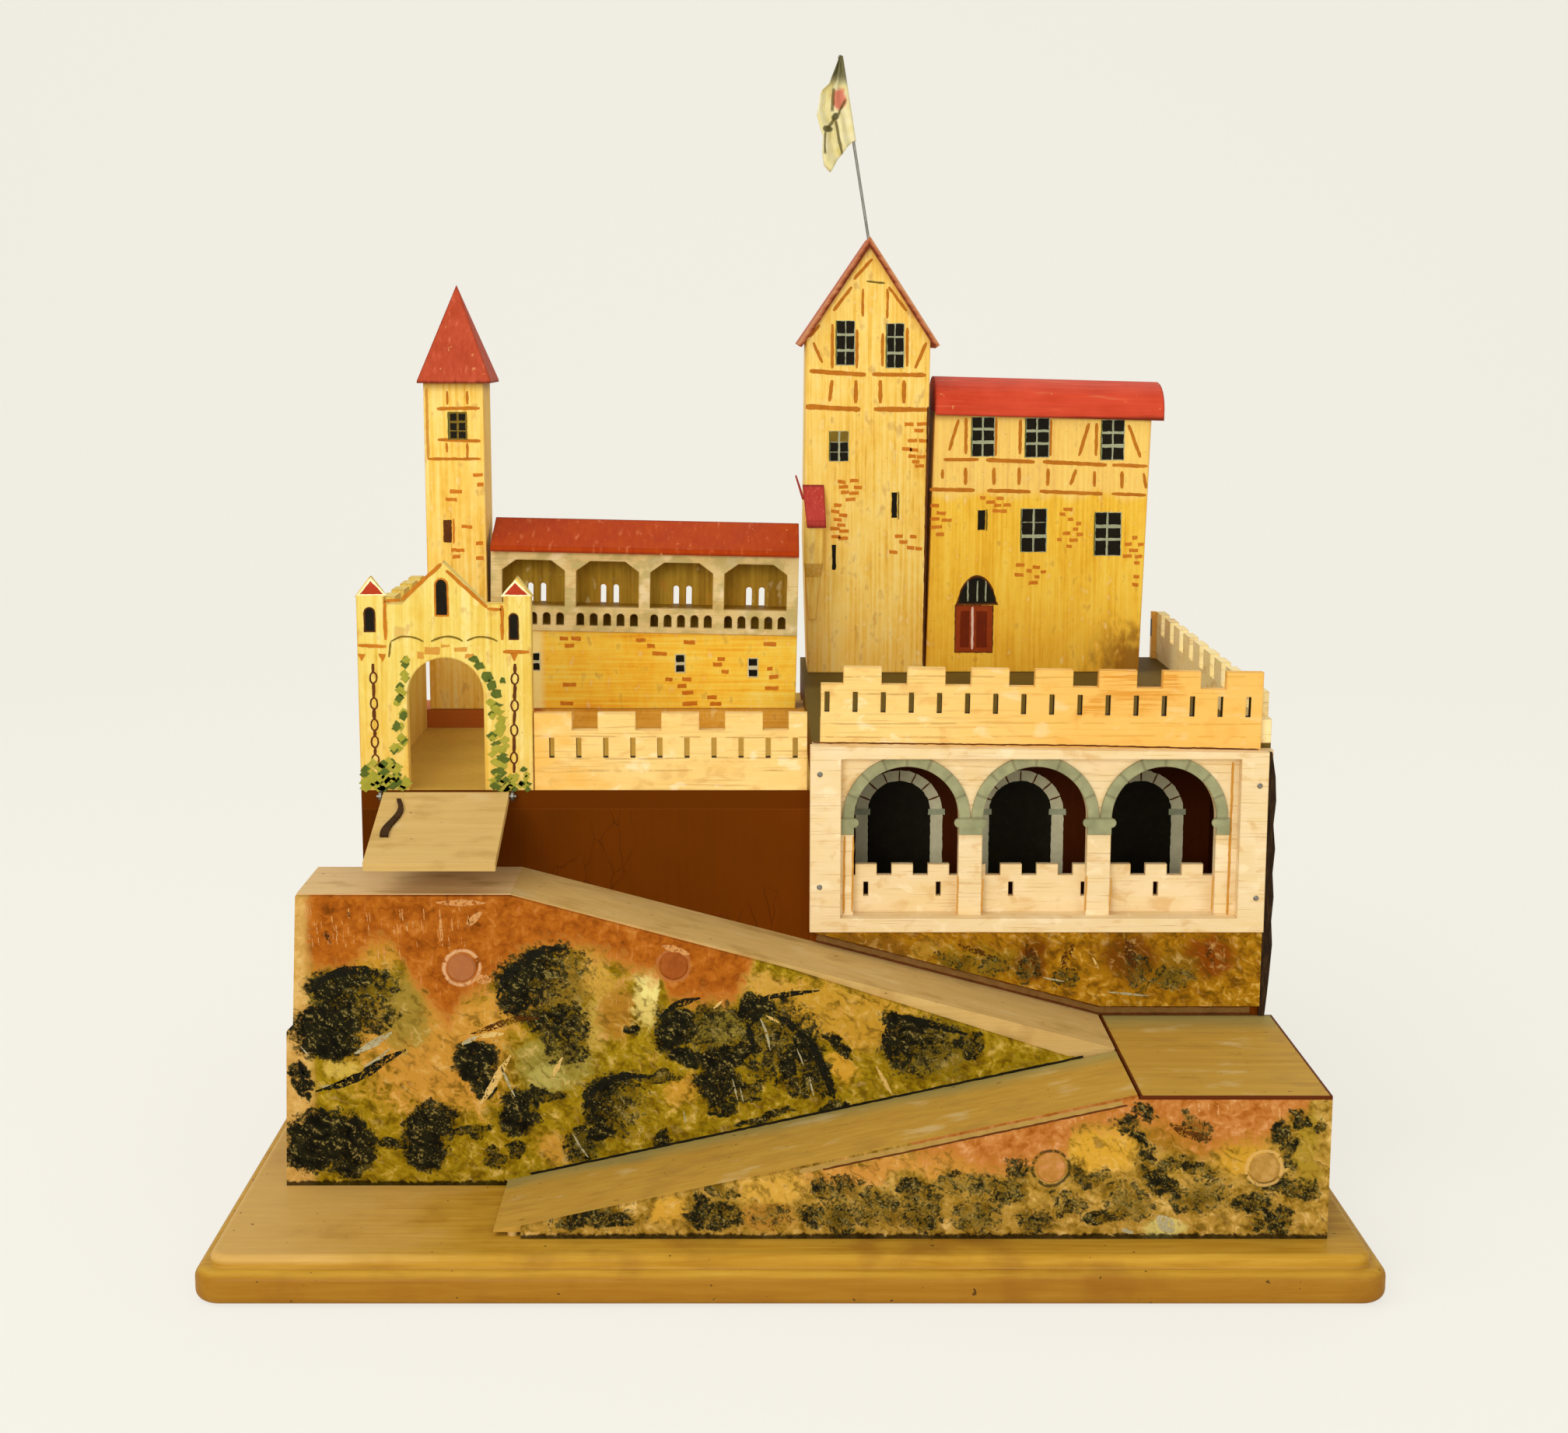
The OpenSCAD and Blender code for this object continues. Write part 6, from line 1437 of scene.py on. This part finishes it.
def flag_spot(u, v):
    """u runs from the hem round the pole to the free end, v from the upper to the lower edge."""
    on_pole = POLE_FOOT + POLE_AXIS * (HEM_TOP - HEM_LENGTH * v)
    hem = min(1, u / HEM_SHARE)
    turn = math.radians(150 - 240 * hem)
    hem_side = POLE_SIDE * HEM_RADIUS * math.cos(turn)
    round_pole = on_pole + hem_side + Vector((0, HEM_RADIUS * math.sin(turn), 0))
    if hem < 1:
        return round_pole
    t = (u - HEM_SHARE) / (1 - HEM_SHARE)
    x, z = free_end(v)
    fold = 2.9 * math.sin(math.radians(610 * t + 80 * v)) * min(1, 3 * t) * (0.3 + 0.8 * v)
    sway = 0.5 * math.sin(9 * v + 3 * t) * t
    ripple = 0.6 * math.sin(14 * t + 5 * v) * t
    return Vector((round_pole.x + (x - round_pole.x) * t + sway,
                   round_pole.y + fold - 0.6 * t,
                   round_pole.z + (z - round_pole.z) * t ** 1.25 + ripple))


print("the free end hangs from", free_end(0), "to", free_end(1))

# %% [markdown]
# The grid becomes one open sheet of mesh. A closed thin solid would hide its cut size, so the sheet
# stays open, and a Solidify modifier gives it the cloth's thickness.

# %% The flag's sheet
ACROSS, DOWN = 44, 40
grid = [[flag_spot(i / ACROSS, j / DOWN) for i in range(ACROSS + 1)] for j in range(DOWN + 1)]
width = sum((grid[DOWN // 2][i + 1] - grid[DOWN // 2][i]).length for i in range(ACROSS))
length = sum((grid[j + 1][ACROSS // 2] - grid[j][ACROSS // 2]).length for j in range(DOWN))
sheet = bmesh.new()
rows = [[sheet.verts.new(p * MM) for p in row] for row in grid]
for j in range(DOWN):
    for i in range(ACROSS):
        sheet.faces.new((rows[j][i], rows[j + 1][i], rows[j + 1][i + 1], rows[j][i + 1]))
flag_mesh = bpy.data.meshes.new("flag_cloth")
sheet.to_mesh(flag_mesh)
sheet.free()
for face in flag_mesh.polygons:
    face.use_smooth = True
flag_cloth = add("flag_cloth", flag_mesh)
thick = flag_cloth.modifiers.new("Thickness", "SOLIDIFY")
thick.thickness, thick.offset = 0.25 * MM, 0
print("flag cut:", round(width, 1), "x", round(length, 1), "mm")

# %% [markdown]
# The print on the cloth is a red patch, faded to pink, with a dark upper edge. Dark lines along the
# folds are partly print and partly painted shade in the creases. A scan would be the usual way for a
# print, but nothing more can be read on it than a few soft marks. Each is a mask on the place, and a
# fine check of two waves gives the weave.

# %% The cloth's finish, and its place on the pole
def cloth_finish():
    f = Finish("flag_print")
    cloud = f.noise(7, detail=4)
    colour = f.chart(cloud, "#C9B968", "#E2D590", "#EFE6B8", "#F4EECB")
    colour = f.blend(f.step(f.z + (cloud - 0.5) * 8, 531, 540) * 0.85, colour, "#4C4A26")
    for x, z, rx, rz, code in ((31, 526, 4, 5.5, "#D8705A"), (29, 517, 1.8, 2, "#3E3A1C"),
                               (25, 510.5, 2.6, 1.8, "#4A4620")):
        away = f.length((f.join(f.x, f.z, 0) - (x, z, 0)) / (rx, rz, 1))
        colour = f.blend(f.step(away + (cloud - 0.5) * 1.2, 1.25, 0.8) * 0.9, colour, code)

    def line(x0, z0, x1, z1, width):
        along = Vector((x1 - x0, z1 - z0, 0))
        side = Vector((-along.y, along.x, 0)).normalized()
        place = f.join(f.x, f.z, 0) - ((x0 + x1) / 2, (z0 + z1) / 2, 0)
        off = f.unsigned(f.along(place, tuple(side)) + (cloud - 0.5) * 2)
        run = f.unsigned(f.along(place, tuple(along.normalized())))
        return f.step(off, width, width * 0.5) * f.step(run, along.length / 2, along.length / 2 - 2)

    # Dark lines along the folds: print, with painted shade in the creases.
    for ends in ((28, 533, 27.5, 519, 1.2), (35, 527, 30, 517, 0.9), (29, 517, 24, 509, 1.2),
                 (29, 516, 33, 496, 1.0), (23.5, 510, 23.5, 496, 0.9)):
        colour = f.blend(line(*ends) * 0.85, colour, "#5E5220")
    warp, weft = (f.node("ShaderNodeTexWave", {"bands_direction": way},
                         {"Vector": f.place, "Scale": 0.6}) for way in ("X", "Z"))
    return f.done(colour, 0.85, warp + weft, 0.05, 0.2)


flag_mesh.materials.append(cloth_finish())
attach(flag_cloth, "flag")
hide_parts("flag")
print("flag hung")

# %% [markdown]
# ## Floor
# The castle stands on a pale floor that curves up behind it, as paper does in a studio. More light
# on a grey floor would whiten it, and the castle too. So the floor shows a pale colour of its own to
# the camera and in reflections, mixed with a little of the real shading, so that the castle's shadow
# stays. Light that falls on the castle from below still comes from the real shading.

# %% Build the floor
FLOOR_FRONT, FLOOR_BACK, BEND, FLOOR_TOP, FLOOR_HALF = -3.0, 1.6, 1.2, 4.0, 5.0


def floor_mesh():
    mesh = bmesh.new()
    profile = [(FLOOR_FRONT, 0.0), (FLOOR_BACK, 0.0)]
    profile += [(FLOOR_BACK + BEND * math.sin(a), BEND - BEND * math.cos(a)) for a in
                [math.radians(9 * k) for k in range(1, 11)]]
    profile.append((FLOOR_BACK + BEND, FLOOR_TOP))
    sides = [[mesh.verts.new((x, y, z + base_low[2])) for y, z in profile]
             for x in (-FLOOR_HALF, FLOOR_HALF)]
    for k in range(len(profile) - 1):
        mesh.faces.new((sides[0][k], sides[1][k], sides[1][k + 1], sides[0][k + 1]))
    data = bpy.data.meshes.new("floor")
    mesh.to_mesh(data)
    mesh.free()
    for face in data.polygons:
        face.use_smooth = True
    return data


def looked_at(recipe):
    """1 where the camera, a mirror or a clear piece looks, and 0 for the light that falls."""
    rays = recipe.node("ShaderNodeLightPath").socket.node
    camera_ray, mirror_ray, clear_ray = (Value(recipe, rays.outputs[name]) for name in
                                         ("Is Camera Ray", "Is Glossy Ray", "Is Transmission Ray"))
    return recipe.least(camera_ray + mirror_ray + clear_ray, 1)


def floor_finish():
    f = Finish("pale_floor")
    f.done(paint("#EFEBDF"), 0.9, gloss=0.1)
    own = f.node("ShaderNodeEmission", None, {"Color": paint("#F7F4EA"), "Strength": 1.0})
    mixed = f.node("ShaderNodeMixShader", None,
                   {0: looked_at(f) * 0.8, 1: Value(f, f.shader.outputs[0]), 2: own})
    output = next(n for n in f.tree.nodes if n.type == "OUTPUT_MATERIAL")
    f.tree.links.new(mixed.socket, output.inputs["Surface"])
    return f.material


floor = add("floor", floor_mesh())
floor.data.materials.append(floor_finish())
floor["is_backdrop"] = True
print("floor at", base_low[2])

# %% [markdown]
# ## Light and background
# Four large lamps give soft light, strong enough that a colour renders about as it is written, and no
# stronger. Small lamps would draw hard shadows. The world gives plain grey light, and the same rays
# that see the floor's own colour see a pale backdrop.

# %% Light it
def lamp(name, place, aim, size, watts, colour=(1, 1, 1)):
    light = bpy.data.lights.new(name, "AREA")
    light.shape, light.size, light.energy, light.color = "SQUARE", size, watts, colour
    made = add(name, light)
    made.location = place
    made.rotation_euler = (Vector(aim) - Vector(place)).to_track_quat("-Z", "Y").to_euler()


lamp("Key", (-0.7, -2.4, 0.85), (0, 0, 0.2), 1.0, 25, (1.0, 0.98, 0.95))
lamp("Fill", (1.3, -2.1, 0.55), (0, 0, 0.2), 1.4, 11.5)
lamp("Top", (-1.0, -0.4, 1.9), (0, 0, 0.2), 1.3, 13.5)
lamp("Back", (0.4, 1.5, 2.0), (0, 0, 0.3), 1.2, 8)
world = bpy.data.worlds.new("World")
bpy.context.scene.world = world
world.use_nodes = True
sky = Recipe(world.node_tree)
background = next(n for n in sky.tree.nodes if n.type == "BACKGROUND")
colour = sky.blend(looked_at(sky), (0.5, 0.5, 0.5), "#F2EFE4")
sky.tree.links.new(colour.socket, background.inputs["Color"])
bpy.context.scene.view_settings.view_transform = "Standard"

# %% [markdown] ## Measure and finish
# The box of what shows is measured and printed.

# %% Measure and finish
low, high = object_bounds()
print("visual box:", [round(v, 4) for v in (*low, *high)])
